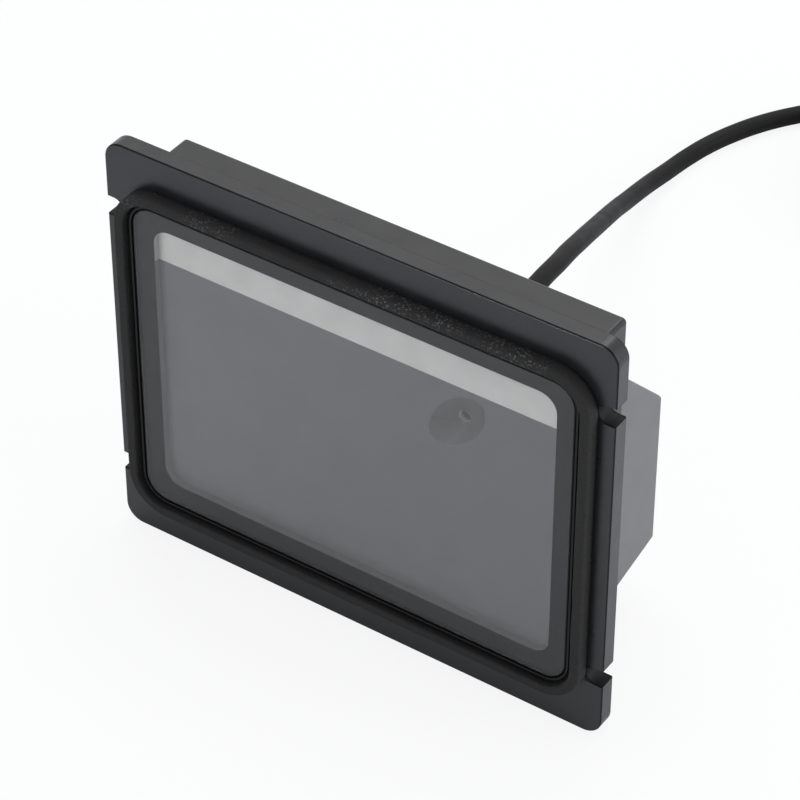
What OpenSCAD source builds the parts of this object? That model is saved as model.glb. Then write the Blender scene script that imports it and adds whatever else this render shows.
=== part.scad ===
// Fixed-mount barcode scanner: a framed reading window that is bolted behind a
// panel, with a wedge-shaped rear cover and a lead that ends in a USB plug.
// The origin is the centre of the flange's front face. X is to the right as
// seen from the front, Y is to the rear and Z is up. Lengths are millimetres.

/* [Reading window] */
// Width of the clear window
window_w = 91.6; // [80:0.2:104]
// Height of the clear window
window_h = 64; // [54:0.5:72]
// Radius of the clear window's corners
window_r = 4; // [2:0.5:6]
// Height of the window's centre above the flange's centre
window_z = 0.4; // [-0.5:0.1:0.8]
// Width that the flange's opening has to spare round the clear window
window_reveal = 0.25; // [0.1:0.05:0.5]

/* [Glass] */
// Width of the glass's black border at each side
border_side = 4.3; // [3.5:0.1:6]
// Width of the glass's black border above and below
border_top = 4.4; // [3.5:0.1:6]
// Thickness of the glass pane
glass_t = 1.6; // [1.2:0.1:2]
// Radius of the glass pane's corners
glass_corner_r = 5; // [4:0.5:9]
// Rounding of the glass pane's edges
glass_edge_r = 0.2; // [0.1:0.05:0.3]
// Thickness of the black adhesive frame behind the glass
tape_t = 0.2; // [0.1:0.05:0.4]
// Gap between the glass and the rim round it
rim_gap = 0.3; // [0.2:0.05:0.5]
// Wall of the rim round the glass
rim_wall = 0.45; // [0.3:0.05:0.6]
// Height that the rim stands proud of the glass
rim_proud = 0.1; // [0:0.05:0.3]

/* [Foam gasket] */
// Mean of the gaps between the rim and the foam gasket at its two sides
gasket_gap = 0.8; // [0.5:0.05:1.2]
// Mean of the gaps between the rim and the foam gasket above and below
gasket_top_gap = 0.6; // [0.5:0.05:1.2]
// Sideways and upward shift of the foam gasket from the rim's centre
gasket_shift = [-0.15, -0.35];
// Width of the foam gasket's face
gasket_w = 2.25; // [1.8:0.05:2.5]
// Height of the foam gasket over the flange
gasket_t = 2.9; // [2.2:0.1:4]

/* [Flange] */
// Width of the flange outside the gasket at each side
flange_side = 3.6; // [3.2:0.05:6]
// Height of the flange above and below the gasket
flange_top = 7.7; // [6.5:0.05:10]
// Thickness of the mounting flange
flange_t = 4; // [3.6:0.1:5]
// Radius of the flange's four corners
flange_corner_r = 4; // [2:0.5:6]
// Rounding of the flange's edges
flange_edge_r = 0.4; // [0.2:0.1:0.8]

/* [Mounting slots] */
// Width of each open slot, which takes an M4 screw
slot_w = 4.2; // [4.2:0.1:5.5]
// Depth of each slot from the flange's side edge
slot_depth = 3.75; // [2.8:0.05:4]
// Distance from a slot's centre to the flange's upper or lower edge
slot_from_edge = 15.35; // [12:0.05:18]
// Chamfer round the front of each slot
slot_chamfer = 0.15; // [0.1:0.05:0.5]

/* [Case] */
// Width of the case outside the window's opening at each side
case_side = 4; // [3.4:0.05:4.5]
// Height of the case above and below the window's opening
case_top = 9.85; // [8.5:0.05:11]
// Depth of the case, from the flange's front face to its rear edge
case_depth = 15.6; // [14.8:0.2:20]
// Wall of the case
case_wall = 2; // [1.6:0.1:2.2]
// Radius of the case's four long edges
case_corner_r = 1; // [1:0.1:2]
// Rounding of the case's rear edge
case_edge_r = 0.8; // [0.4:0.1:0.9]
// Diameter of the four bosses that take the cover's screws
case_boss_d = 4.6; // [4.2:0.1:5]
// Distance from the case's inner wall to a boss's centre
case_boss_inset = 2.2; // [2.1:0.1:2.4]

/* [Rear cover] */
// Distance from the flange's front face to the rear face
cover_rear_y = 41.8; // [40:0.2:46]
// Distance from the case's side to the wedge's side
cover_side = 6.2; // [6.1:0.1:8]
// Distance from the case's top to the sloping roof's front edge
roof_drop = 13.1; // [10:0.1:14]
// Slope of the roof
roof_angle = 45; // [40:1:47]
// Slope of the underside
underside_angle = 14.2; // [6:0.1:18]
// Wall of the rear cover
cover_wall = 2; // [1.6:0.1:2.4]
// Thickness of the cover's plate
cover_plate_t = 2.4; // [2:0.1:2.6]
// Gap round the cover's plate
cover_gap = 0.15; // [0.1:0.05:0.3]
// Rounding of the edge between the roof and the rear face
cover_edge_r = 3; // [1:0.5:3]
// Rounding of the rear face's lower edge
cover_foot_r = 0.8; // [0.5:0.1:1.5]
// Rounding of the wedge's side edges
cover_side_r = 1; // [0.5:0.1:1.6]

/* [Inner panel] */
// Depth of the inner panel's face behind the flange's front face
panel_recess = 1.5; // [1:0.1:2.5]
// Thickness of the panel's back plate
panel_plate_t = 1.5; // [1.2:0.1:2]
// Gap round the panel
panel_gap = 0.15; // [0.1:0.05:0.3]
// Distance from the opening's side edge to each panel screw
panel_screw_inset = 21; // [15:1:30]
// Distance between the stiffening ribs behind the panel
rib_pitch = 20; // [14:1:24]
// Thickness of the stiffening ribs
rib_t = 1.2; // [0.8:0.1:1.6]
// Height of the stiffening ribs
rib_h = 3; // [1.5:0.1:3.5]

/* [Light bar] */
// Height of the light bar that shows at the top of the window
light_band_h = 8.8; // [6:0.2:11]
// Distance from the light bar's lower edge to the slot behind it
light_slot_rise = 1.6; // [1:0.1:2]
// Height of the slot behind the light bar
light_slot_h = 5.6; // [4:0.2:6]
// Wall of the rails above and below the light channel
rail_t = 1.2; // [0.8:0.1:1.4]
// Distance by which the light board is narrower than the window's opening
light_board_play = 2.1; // [1.5:0.1:4]
// Distance from the light board's ends to its screws
light_screw_inset = 4; // [3.5:0.1:5]
// Thickness of the light bar's circuit board
light_board_t = 1.2; // [0.8:0.1:1.6]
// Depth of the light channel behind the panel's back plate
light_channel = 1.8; // [1.4:0.1:2.2]
// Number of light-emitting diodes
led_count = 10; // [6:1:11]
// Size of each diode, across, up and out of its board
led_size = [3.5, 2.8, 0.8];

/* [Camera] */
// Distance from the opening's right edge to the camera port's centre
camera_from_side = 22.25; // [18:0.25:34]
// Distance from the light bar's lower edge down to the camera port's centre
camera_below_light = 8; // [7.5:0.1:12]
// Length of the camera port's oval mouth, in the panel's face
port_l = 16.6; // [13:0.2:17]
// Width of the oval mouth
port_w = 8.9; // [7:0.1:10]
// Angle of the oval's long axis above the horizontal
port_lean = 50; // [40:1:60]
// Place of the oval's centre seen from the lens's axis, across and up
port_shift = [-0.65, -0.35];
// Depth of the dish, from the panel's face to the eye
port_depth = 1.8; // [1.2:0.1:2.4]
// Diameter of the eye, the hole at the dish's bottom
eye_d = 2.6; // [2:0.1:3.4]
// Thickness of the web that the eye goes through
eye_web = 0.8; // [0.6:0.1:1]
// Diameter of the bore behind the eye
port_inner_d = 6.2; // [5:0.1:7]
// Diameter of the lens barrel
barrel_d = 8; // [7:0.1:9]
// Length of the lens barrel
barrel_l = 6.8; // [5.5:0.1:6.9]
// Gap between the panel and the lens barrel
barrel_gap = 0.3; // [0.2:0.05:0.5]
// Diameter of the front lens
lens_d = 5.4; // [4:0.1:6]
// Side of the square lens holder
holder_side = 13; // [12:0.2:14]
// Length of the lens holder
holder_l = 6; // [5:0.1:6.4]
// Distance between the barrel's rear end and the image sensor
back_focus = 2.1; // [1.5:0.1:2.5]
// Thickness of the image sensor
sensor_t = 1.1; // [0.8:0.1:1.4]
// Width of the camera's circuit board
camera_board_w = 26; // [25:0.5:28]
// Height of the camera's circuit board
camera_board_h = 16; // [15:0.2:16.4]
// Thickness of the camera's circuit board
camera_board_t = 1.2; // [0.8:0.1:1.6]
// Distance from the camera board's edges to its screws
camera_screw_inset = 2.3; // [2.1:0.1:2.6]
// Diameter of the posts that carry the camera board
camera_post_d = 4; // [3.6:0.1:4.4]

/* [Main board] */
// Distance from the main board's ends to the cover's side walls
board_side_gap = 8.4; // [6:0.1:12]
// Distance from the main board's top edge to the cover's roof
board_roof_gap = 6.8; // [4:0.1:9]
// Height of the main board's lower edge above the rear face's lower edge
board_floor_gap = 5; // [3:0.1:8]
// Thickness of the main circuit board
board_t = 1.6; // [1.2:0.1:2]
// Distance from the flange's front face to the main board
board_y = 24; // [23.5:0.1:25]
// Distance from the board's edges to its screws
board_screw_inset = 4; // [3:0.5:5]
// Diameter of the posts that carry the main board
post_d = 5; // [4:0.1:5.6]
// Side of the processor
processor_side = 14; // [10:0.5:16]
// Diameter of the buzzer
buzzer_d = 9; // [7:0.5:10]
// Height of the buzzer
buzzer_h = 4.5; // [3:0.5:5.5]
// Width, height and thickness of each flex socket
socket = [9, 3.2, 1.6];
// Width of the flat flexes
flex_w = 7; // [5:0.5:8]
// Thickness of the flat flexes
flex_t = 0.2; // [0.15:0.05:0.3]
// Width, height and depth of the header that takes the lead
lead_socket_size = [12.4, 6.4, 5.4];
// Width, height and length of the lead's crimp housing
lead_plug_size = [10.8, 4.8, 7.4];

/* [Screws] */
// Diameter of the small self-tapping screws
screw_d = 2; // [1.6:0.1:2.2]
// Diameter of the screw heads
screw_head_d = 3.4; // [3:0.1:3.6]
// Height of the screw heads
screw_head_h = 1.4; // [1:0.1:1.6]
// Gap between a screw and the hole that it cuts its thread in
screw_gap = 0.05; // [0.02:0.01:0.1]
// Gap between a screw and the clearance hole that it passes through
screw_play = 0.15; // [0.1:0.05:0.3]
// Length of a cover or board screw in its post
screw_bite = 5.5; // [4:0.1:6]
// Length of a camera screw in its post
camera_bite = 4.4; // [3:0.1:4.6]
// Length of a panel screw in the flange
panel_bite = 2.2; // [1.8:0.1:2.6]
// Length of a light board screw in the panel's back plate
light_bite = 0.6; // [0.3:0.1:0.9]
// Depth of each blind hole beyond its screw
blind_extra = 0.4; // [0.2:0.05:0.8]

/* [Lead and strain relief] */
// Diameter of the lead
lead_d = 4.2; // [3.4:0.1:4.4]
// Distance from the rear face's upper edge down to the lead's outlet
outlet_below_edge = 6.8; // [6.6:0.1:16]
// Diameter of the strain relief's neck in the rear wall
relief_neck_d = 8; // [7:0.1:9]
// Diameter of the strain relief's collars
relief_collar_d = 11; // [10:0.2:12]
// Thickness of the outer collar
relief_collar_t = 2.5; // [2:0.1:4]
// Thickness of the collar inside the rear wall
relief_inner_t = 2; // [1.6:0.1:2.4]
// Number of ribs on the tapered sleeve
rib_count = 4; // [3:1:5]
// Depth of the grooves between the ribs
groove = 0.5; // [0.3:0.05:0.7]
// Length of the tapered sleeve
relief_sleeve_l = 14; // [12:0.5:14]
// Diameter of the sleeve at the collar
relief_sleeve_d = 8.4; // [7.4:0.1:9]
// Diameter of the sleeve at its tip
relief_tip_d = 5.6; // [5.2:0.1:6.2]

/* [USB plug] */
// Width, thickness and length of the moulded plug body
plug_size = [15.5, 7.6, 19];
// Width, thickness and length of the metal shell
shell_size = [12, 4.5, 17];
// Wall of the metal shell
shell_wall = 0.3; // [0.2:0.05:0.5]
// Length of the plug's own strain relief
plug_sleeve_l = 10; // [8:0.5:14]

/* [Hidden] */

// Round features are drawn with this many sides, and small ones with fewer.
$fn = 64;
small_fn = 32;
// Overshoot of a cut past the face that it breaks.
cut = 1;

// Outlines that grow from the window outwards, each as [width, height].
function grown(size, side, top) = [size.x + 2 * side, size.y + 2 * top];
window = [window_w, window_h];
glass = grown(window, border_side, border_top);
rim_inner = grown(glass, rim_gap, rim_gap);
rim_outer = grown(rim_inner, rim_wall, rim_wall);
gasket_inner = grown(rim_outer, gasket_gap, gasket_top_gap);
gasket_outer = grown(gasket_inner, gasket_w, gasket_w);
flange = grown(gasket_outer, flange_side, flange_top);
opening = grown(window, window_reveal, window_reveal);
case_outer = grown(opening, case_side, case_top);
case_inner = grown(case_outer, -case_wall, -case_wall);
// Radii of the outlines' corners.
rim_inner_r = glass_corner_r + rim_gap;
rim_outer_r = rim_inner_r + rim_wall;
gasket_inner_r = rim_outer_r + gasket_gap;
opening_r = window_r + window_reveal;
case_inner_r = 0.4;
// Places of the screws, slots and posts from the flange's centre.
slot_z = flange.y / 2 - slot_from_edge;
boss_x = case_inner.x / 2 - case_boss_inset;
boss_z = case_inner.y / 2 - case_boss_inset;
panel_screw_x = opening.x / 2 - panel_screw_inset;
panel_screw_z = (opening.y + case_inner.y) / 4;

// Depths, measured from the flange's front face.
glass_front = -(tape_t + glass_t);
panel_back = flange_t + panel_plate_t;
cover_plate_y = case_depth - cover_plate_t;
light_board_y = panel_back + light_channel;
barrel_y = panel_back + barrel_gap;
barrel_back = barrel_y + barrel_l;
camera_board_y = barrel_back + back_focus + sensor_t;
holder_y = camera_board_y - holder_l;
board_back = board_y + board_t;
cover_inner_y = cover_rear_y - cover_wall;
sleeve_y = cover_rear_y + relief_collar_t;
relief_end_y = sleeve_y + relief_sleeve_l;

// Light bar, from the window's top edge downwards.
light_z = window_z + window_h / 2 - light_band_h;
light_slot_z = light_z + light_slot_rise;
light_mid_z = light_slot_z + light_slot_h / 2;
light_board_w = opening.x - light_board_play;
light_post_x = light_board_w / 2 - light_screw_inset;
light_post_w = screw_d + 3.2;
light_slot_w = 2 * light_post_x - light_post_w - 1.6;
led_pitch = (light_slot_w - led_size.x) / led_count;

// Camera, from the window's upper right corner.
camera_x = opening.x / 2 - camera_from_side;
camera_z = light_z - camera_below_light;
camera_screw_x = camera_board_w / 2 - camera_screw_inset;
camera_screw_z = camera_board_h / 2 - camera_screw_inset;

// Rear cover's side outline.
cover_w = case_outer.x - 2 * cover_side;
roof_z = case_outer.y / 2 - roof_drop;
underside_z = -case_inner.y / 2 + cover_gap;
wedge_l = cover_rear_y - case_depth;
cover_edge_z = roof_z - wedge_l * tan(roof_angle);
cover_foot_z = underside_z + wedge_l * tan(underside_angle);
outlet_z = cover_edge_z - outlet_below_edge;

// Main board, between the roof and the rear face's lower edge.
board_w = cover_w - 2 * cover_wall - 2 * board_side_gap;
roof_inner_z = roof_z - (board_back - case_depth) * tan(roof_angle) - cover_wall / cos(roof_angle);
board_top = roof_inner_z - board_roof_gap;
board_bottom = cover_foot_z + board_floor_gap;
board_h = board_top - board_bottom;
board_z = (board_top + board_bottom) / 2;
board_post_x = board_w / 2 - board_screw_inset;
board_post_z = board_h / 2 - board_screw_inset;

// Flat flexes run from a socket on one board to a socket on the main board.
camera_flex_x = camera_x - 2;
light_flex_x = -opening.x / 4;
camera_socket_z = camera_z - 3.5;
main_socket_z = board_top - 9;

// The lead lies on the plane that the flange's lower edge reaches.
floor_z = -flange.y / 2;
lay_z = floor_z + lead_d / 2;
// Points of the lead from the strain relief's tip, chosen for a drop of route_drop.
route_drop = 41.6;
run_route = [
    [0, 0, 0], [0, 4, 0], [-0.3, 8, -0.3], [-0.9, 12, -0.9], [-2, 18, -2.4],
    [-4.1, 26, -5.1], [-6.4, 34, -8.5], [-9.1, 42, -12.5], [-12, 50, -16.9],
    [-15, 58, -21.4], [-18, 66, -25.9], [-20.7, 74, -30.1], [-23, 82, -34],
    [-24.9, 90, -37.3], [-26, 98, -39.7], [-26.1, 106, -41.2], [-25.4, 113.5, -41.6],
    [-23.8, 121, -41.6], [-21.2, 128.6, -41.6], [-17.5, 136.3, -41.6],
    [-12.6, 143.4, -41.5], [-7, 149.8, -41.3], [-0.6, 155.4, -41], [6.5, 160.1, -40.8],
    [12.1, 163.4, -40.7], [17.7, 166.6, -40.7]
];
run_points = [for (p = run_route)
    [p.x, relief_end_y + p.y, outlet_z + p.z * (outlet_z - lay_z) / route_drop]];
// Centre of the coil, sideways from and behind the strain relief's tip, and its turns.
coil_side = 33.55;
coil_back = 139.15;
coil_at = [coil_side, relief_end_y + coil_back];
coil_pitch = lead_d + 0.1;
coil_turn_r = 5.5 * lead_d;
coil_columns = 5;
coil_layers = 2;
coil_half_w = (coil_columns - 1) / 2 * coil_pitch + lead_d / 2;
coil_outer_r = coil_turn_r + coil_half_w;
coil_h = (coil_layers - 1) * coil_pitch + lead_d;
tie_t = 0.8;
tie_w = 2.6;
tie_gap = 0.1;
tie_lug = [4.6, 5, 2.8];
coil_base = floor_z + tie_t + tie_gap;
// The lead leaves the coil's top layer and comes down to the plug. Each point
// is its distance from the coil, and its share of the drop.
tail_x = coil_at.x + coil_outer_r - lead_d / 2;
tail_z = coil_base + coil_h - lead_d / 2;
plug_z = floor_z + plug_size.y / 2;
tail_route = [[0, 0], [7, 0.07], [14, 0.4], [21, 0.83], [27, 1], [32, 1]];
tail_points = [for (p = tail_route)
    [tail_x, coil_at.y - p.x, tail_z - p.y * (tail_z - plug_z)]];
plug_back_y = tail_points[len(tail_points) - 1].y;

// Geometry helpers.
function unit(v) = v / norm(v);
function half_angle(a, b, c) = acos(unit(a - b) * unit(c - b)) / 2;
// Point at distance r inside both lines of the corner b.
function inset_point(a, b, c, r) =
    b + unit(unit(a - b) + unit(c - b)) * r / sin(half_angle(a, b, c));
// Point on the line from b to a where a rounding of radius r begins.
function tangent_point(a, b, c, r) =
    b + unit(a - b) * r / tan(half_angle(a, b, c));
function inset_outline(points, r) =
    let (n = len(points))
    [for (i = [0 : n - 1])
        inset_point(points[(i + n - 1) % n], points[i], points[(i + 1) % n], r)];

// A convex outline whose corners have the given radii.
module rounded_outline(points, radii) {
    n = len(points);
    polygon([for (i = [0 : n - 1])
        let (a = points[(i + n - 1) % n], b = points[i], c = points[(i + 1) % n])
        each radii[i] > 0
            ? [tangent_point(a, b, c, radii[i]), tangent_point(c, b, a, radii[i])]
            : [b]]);
    for (i = [0 : n - 1])
        if (radii[i] > 0)
            translate(inset_point(points[(i + n - 1) % n], points[i],
                                  points[(i + 1) % n], radii[i]))
                circle(r = radii[i]);
}

// A rectangle round the origin with rounded corners.
module rounded_rect(size, r) {
    x = size.x / 2;
    y = size.y / 2;
    rounded_outline([[-x, -y], [x, -y], [x, y], [-x, y]], [r, r, r, r]);
}

// Extrudes an outline drawn in X and Z, from y to y + l.
module slab(y, l) {
    translate([0, y + l, 0]) rotate([90, 0, 0]) linear_extrude(l) children();
}

// Extrudes an outline drawn in Y and Z along X, centred on x.
module across(x, w) {
    translate([x - w / 2, 0, 0]) rotate([90, 0, 90]) linear_extrude(w) children();
}

// A cylinder along Y.
module rod(x, y, z, d, l) {
    translate([x, y, z]) rotate([-90, 0, 0]) cylinder(d = d, h = l);
}

// Turns an outline drawn as radius and depth round an axis along Y.
module turned(x, z) {
    translate([x, 0, z]) rotate([-90, 0, 0]) rotate_extrude() children();
}

module mirrored_x() {
    children();
    mirror([1, 0, 0]) children();
}

module four_corners(x, z) {
    for (sx = [-1, 1], sz = [-1, 1]) translate([sx * x, 0, sz * z]) children();
}

// A plate whose front and rear edges are rounded, from y = 0 to y = t.
module edge_rounded_plate(size, t, corner_r, edge_r) {
    module section(half) {
        translate([-half, edge_r]) square([2 * half, t - 2 * edge_r]);
        translate([-half + edge_r, 0]) square([2 * (half - edge_r), t]);
        for (s = [-1, 1], y = [edge_r, t - edge_r])
            translate([s * (half - edge_r), y]) circle(r = edge_r);
    }
    x = size.x / 2;
    z = size.y / 2;
    translate([0, 0, corner_r - z]) linear_extrude(size.y - 2 * corner_r) section(x);
    translate([corner_r - x, 0, 0]) rotate([0, 90, 0])
        linear_extrude(size.x - 2 * corner_r) section(z);
    four_corners(x - corner_r, z - corner_r)
        rotate([-90, 0, 0]) rotate_extrude()
            intersection() {
                section(corner_r);
                square([corner_r, t]);
            }
}

// A self-tapping pan-head screw, its head's seat at z = 0 and its head upwards.
module pan_screw(length) {
    difference() {
        union() {
            translate([0, 0, -length]) cylinder(d = screw_d, h = length, $fn = small_fn);
            cylinder(d = screw_head_d, h = screw_head_h, $fn = small_fn);
        }
        for (a = [0, 90]) rotate([0, 0, a])
            translate([-screw_head_d * 0.3, -0.25, screw_head_h * 0.45])
                cube([screw_head_d * 0.6, 0.5, screw_head_h]);
    }
}

// A screw whose head faces the rear, or the front.
module screw_to_front(x, y, z, length) {
    translate([x, y, z]) rotate([-90, 0, 0]) pan_screw(length);
}
module screw_to_rear(x, y, z, length) {
    translate([x, y, z]) rotate([90, 0, 0]) pan_screw(length);
}

// Holes for a screw along Y: one that it cuts its thread in, and a clearance hole.
module thread_hole(x, y, z, l) {
    rod(x, y, z, screw_d + 2 * screw_gap, l);
}
module clearance_hole(x, y, z, t) {
    rod(x, y - cut, z, screw_d + 2 * screw_play, t + 2 * cut);
}

// A thin strip that follows points drawn in Y and Z.
module strip(points, t) {
    for (i = [0 : len(points) - 2]) {
        d = points[i + 1] - points[i];
        translate(points[i]) rotate(atan2(d.y, d.x))
            translate([0, -t / 2]) square([norm(d), t]);
    }
    for (i = [1 : len(points) - 2]) translate(points[i]) circle(d = t, $fn = small_fn);
}

// A tube swept along points, one ring for each point.
module swept_tube(points, d, sides = 8) {
    n = len(points);
    rings = [for (i = [0 : n - 1])
        let (
            t = unit(points[min(i + 1, n - 1)] - points[max(i - 1, 0)]),
            side = unit(cross(t, [0, 0, 1])),
            top = cross(side, t)
        )
        each [for (k = [0 : sides - 1])
            points[i] + d / 2 * (cos(360 * k / sides) * side + sin(360 * k / sides) * top)]];
    polyhedron(
        points = rings,
        faces = concat(
            [[for (k = [0 : sides - 1]) k]],
            [for (i = [0 : n - 2], k = [0 : sides - 1])
                [i * sides + k, (i + 1) * sides + k,
                 (i + 1) * sides + (k + 1) % sides, i * sides + (k + 1) % sides]],
            [[for (k = [sides - 1 : -1 : 0]) (n - 1) * sides + k]]));
}

// An open slot in the flange's right side, with a chamfer round its front.
module slot_cut() {
    end_x = flange.x / 2 - slot_depth + slot_w / 2;
    half = slot_w / 2;
    wide = half + slot_chamfer;
    slab(-cut, flange_t + 2 * cut) {
        translate([end_x, 0]) circle(r = half);
        translate([end_x, -half]) square([slot_depth + cut, slot_w]);
    }
    translate([end_x, 0, 0]) rotate([-90, 0, 0])
        cylinder(r1 = wide, r2 = half, h = slot_chamfer);
    across(end_x + (slot_depth + cut) / 2, slot_depth + cut)
        polygon([[0, -wide], [0, wide], [slot_chamfer, half], [slot_chamfer, -half]]);
}

// The case's walls run into the flange by this much.
case_root = 1;

// The flange and the case behind it are one moulding.
module front_case() {
    root_y = flange_t - case_root;
    color([0.16, 0.16, 0.17])
    difference() {
        union() {
            edge_rounded_plate(flange, flange_t, flange_corner_r, flange_edge_r);
            difference() {
                translate([0, root_y, 0])
                    edge_rounded_plate(case_outer, case_depth - root_y, case_corner_r,
                                       case_edge_r);
                slab(flange_t, case_depth) rounded_rect(case_inner, case_inner_r);
            }
            translate([0, 0, window_z]) slab(glass_front - rim_proud, flange_t - glass_front)
                rounded_rect(rim_outer, rim_outer_r);
            four_corners(boss_x, boss_z)
                rod(0, root_y, 0, case_boss_d, cover_plate_y - root_y);
        }
        translate([0, 0, window_z]) {
            slab(glass_front - cut, -glass_front + cut) rounded_rect(rim_inner, rim_inner_r);
            slab(-cut, flange_t + 2 * cut) rounded_rect(opening, opening_r);
        }
        mirrored_x() for (s = [-1, 1]) translate([0, 0, s * slot_z]) slot_cut();
        four_corners(boss_x, boss_z)
            thread_hole(0, cover_plate_y - screw_bite - blind_extra, 0,
                        screw_bite + blind_extra + cut);
        four_corners(panel_screw_x, panel_screw_z)
            thread_hole(0, flange_t - panel_bite - blind_extra, 0,
                        panel_bite + blind_extra + cut);
    }
}

module foam_gasket() {
    color([0.1, 0.1, 0.1])
    translate([gasket_shift.x, 0, window_z + gasket_shift.y]) slab(-gasket_t, gasket_t)
        difference() {
            rounded_rect(gasket_outer, gasket_inner_r + gasket_w);
            rounded_rect(gasket_inner, gasket_inner_r);
        }
}

module front_glass() {
    color([0.6, 0.66, 0.68, 0.35])
    translate([0, glass_front, window_z])
        edge_rounded_plate(glass, glass_t, glass_corner_r, glass_edge_r);
}

module glass_tape() {
    color([0.05, 0.05, 0.05])
    translate([0, 0, window_z]) slab(-tape_t, tape_t)
        difference() {
            rounded_rect(glass, glass_corner_r);
            rounded_rect(window, window_r);
        }
}

// The panel's front part fills the window's opening up to the light bar.
module opening_fill() {
    translate([0, window_z])
        rounded_rect(grown(opening, -panel_gap, -panel_gap), opening_r - panel_gap);
}

// The panel's back plate is cut away round the case's bosses.
module panel_plate() {
    clear_r = case_boss_d / 2 + 2 * panel_gap;
    difference() {
        rounded_rect(grown(case_inner, -panel_gap, -panel_gap), case_inner_r);
        for (sx = [-1, 1], sz = [-1, 1])
            translate([sx * boss_x, sz * boss_z]) {
                circle(r = clear_r);
                translate([sx > 0 ? 0 : -2 * clear_r, sz > 0 ? -clear_r : 0])
                    square([2 * clear_r, clear_r]);
                translate([sx > 0 ? -clear_r : 0, sz > 0 ? 0 : -2 * clear_r])
                    square([clear_r, 2 * clear_r]);
                translate([sx > 0 ? 0 : -2 * clear_r, sz > 0 ? 0 : -2 * clear_r])
                    square(2 * clear_r);
            }
    }
}

// Oval dish with an eye at its bottom, and a wider bore behind it for the lens.
module camera_port() {
    eye_y = panel_recess + port_depth;
    seam = 0.01;
    hull() {
        slab(panel_recess - cut, cut)
            translate([camera_x + port_shift.x, camera_z + port_shift.y])
                rotate(port_lean) scale([1, port_w / port_l]) circle(d = port_l);
        rod(camera_x, eye_y - seam, camera_z, eye_d, seam);
    }
    rod(camera_x, eye_y - 2 * seam, camera_z, eye_d, eye_web + 4 * seam);
    rod(camera_x, eye_y + eye_web, camera_z, port_inner_d, panel_back + cut - eye_y - eye_web);
}

module at_camera_screws() {
    translate([camera_x, 0, camera_z]) four_corners(camera_screw_x, camera_screw_z) children();
}

// Rails that close the light channel, with a post for a screw at each end.
module light_rails() {
    rail_l = light_board_w - 2;
    for (z = [light_slot_z - rail_t, light_slot_z + light_slot_h])
        translate([-rail_l / 2, panel_back, z]) cube([rail_l, light_channel, rail_t]);
    mirrored_x()
        translate([light_post_x - light_post_w / 2, panel_back, light_slot_z - rail_t])
            cube([light_post_w, light_channel, light_slot_h + 2 * rail_t]);
}

module inner_panel() {
    post_root = 0.5;
    rib_l = opening.y / 2;
    color([0.3, 0.31, 0.32])
    difference() {
        union() {
            slab(panel_recess, flange_t - panel_recess)
                intersection() {
                    opening_fill();
                    translate([-flange.x / 2, light_z - flange.y]) square(flange);
                }
            slab(flange_t, panel_plate_t) panel_plate();
            light_rails();
            at_camera_screws()
                rod(0, panel_back - post_root, 0, camera_post_d,
                    camera_board_y - panel_back + post_root);
            for (i = [-1.5 : 1.5])
                translate([i * rib_pitch - rib_t / 2, panel_back - post_root, -rib_l])
                    cube([rib_t, rib_h + post_root, rib_l]);
        }
        translate([-light_slot_w / 2, flange_t - cut, light_slot_z])
            cube([light_slot_w, panel_plate_t + 2 * cut, light_slot_h]);
        camera_port();
        four_corners(panel_screw_x, panel_screw_z)
            clearance_hole(0, flange_t, 0, panel_plate_t);
        mirrored_x()
            thread_hole(light_post_x, panel_back - light_bite - blind_extra, light_mid_z,
                        light_channel + light_bite + blind_extra + cut);
        at_camera_screws()
            thread_hole(0, camera_board_y - camera_bite - blind_extra, 0,
                        camera_bite + blind_extra + cut);
    }
}

module panel_screws() {
    color("silver")
    four_corners(panel_screw_x, panel_screw_z)
        screw_to_front(0, panel_back, 0, panel_plate_t + panel_bite);
}

// Gap between the light bar and the panel below it.
light_joint = 0.05;

module light_diffuser() {
    color([0.9, 0.92, 0.92])
    slab(panel_recess, flange_t - panel_recess)
        intersection() {
            opening_fill();
            translate([-flange.x / 2, light_z + light_joint]) square(flange);
        }
}

module light_board() {
    board = [light_board_w, light_slot_h + 2 * rail_t + 1];
    color([0.85, 0.87, 0.84])
    difference() {
        translate([0, 0, light_mid_z]) slab(light_board_y, light_board_t)
            rounded_rect(board, 0.8);
        mirrored_x() clearance_hole(light_post_x, light_board_y, light_mid_z, light_board_t);
    }
}

module light_leds() {
    color([0.95, 0.93, 0.75])
    for (i = [0 : led_count - 1])
        translate([(i - (led_count - 1) / 2) * led_pitch, 0, light_mid_z])
            slab(light_board_y - led_size.z, led_size.z)
                rounded_rect([led_size.x, led_size.y], 0.3, $fn = small_fn);
}

module light_board_screws() {
    color("silver")
    mirrored_x()
        screw_to_front(light_post_x, light_board_y + light_board_t, light_mid_z,
                       light_board_t + light_channel + light_bite);
}

// The front lens sits in a seat behind the barrel's mouth, on a narrower bore.
lens_seat = 1.6;
lens_ledge = 0.5;
lens_edge_t = 1.4;

module lens_barrel() {
    bore_r = lens_d / 2 - lens_ledge;
    seat_r = lens_d / 2 + 0.05;
    edge = 0.3;
    color([0.08, 0.08, 0.08])
    turned(camera_x, camera_z)
        polygon([[bore_r, barrel_y + lens_seat], [seat_r, barrel_y + lens_seat],
                 [seat_r, barrel_y + edge], [seat_r + edge, barrel_y],
                 [barrel_d / 2 - edge, barrel_y], [barrel_d / 2, barrel_y + edge],
                 [barrel_d / 2, barrel_back], [bore_r, barrel_back]]);
}

module front_lens() {
    dome_r = 5;
    seat_y = barrel_y + lens_seat;
    color([0.5, 0.55, 0.7, 0.6])
    intersection() {
        rod(camera_x, seat_y - lens_edge_t, camera_z, lens_d, lens_edge_t);
        translate([camera_x, seat_y - lens_edge_t + 0.1 + dome_r, camera_z]) sphere(r = dome_r);
    }
}

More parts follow.
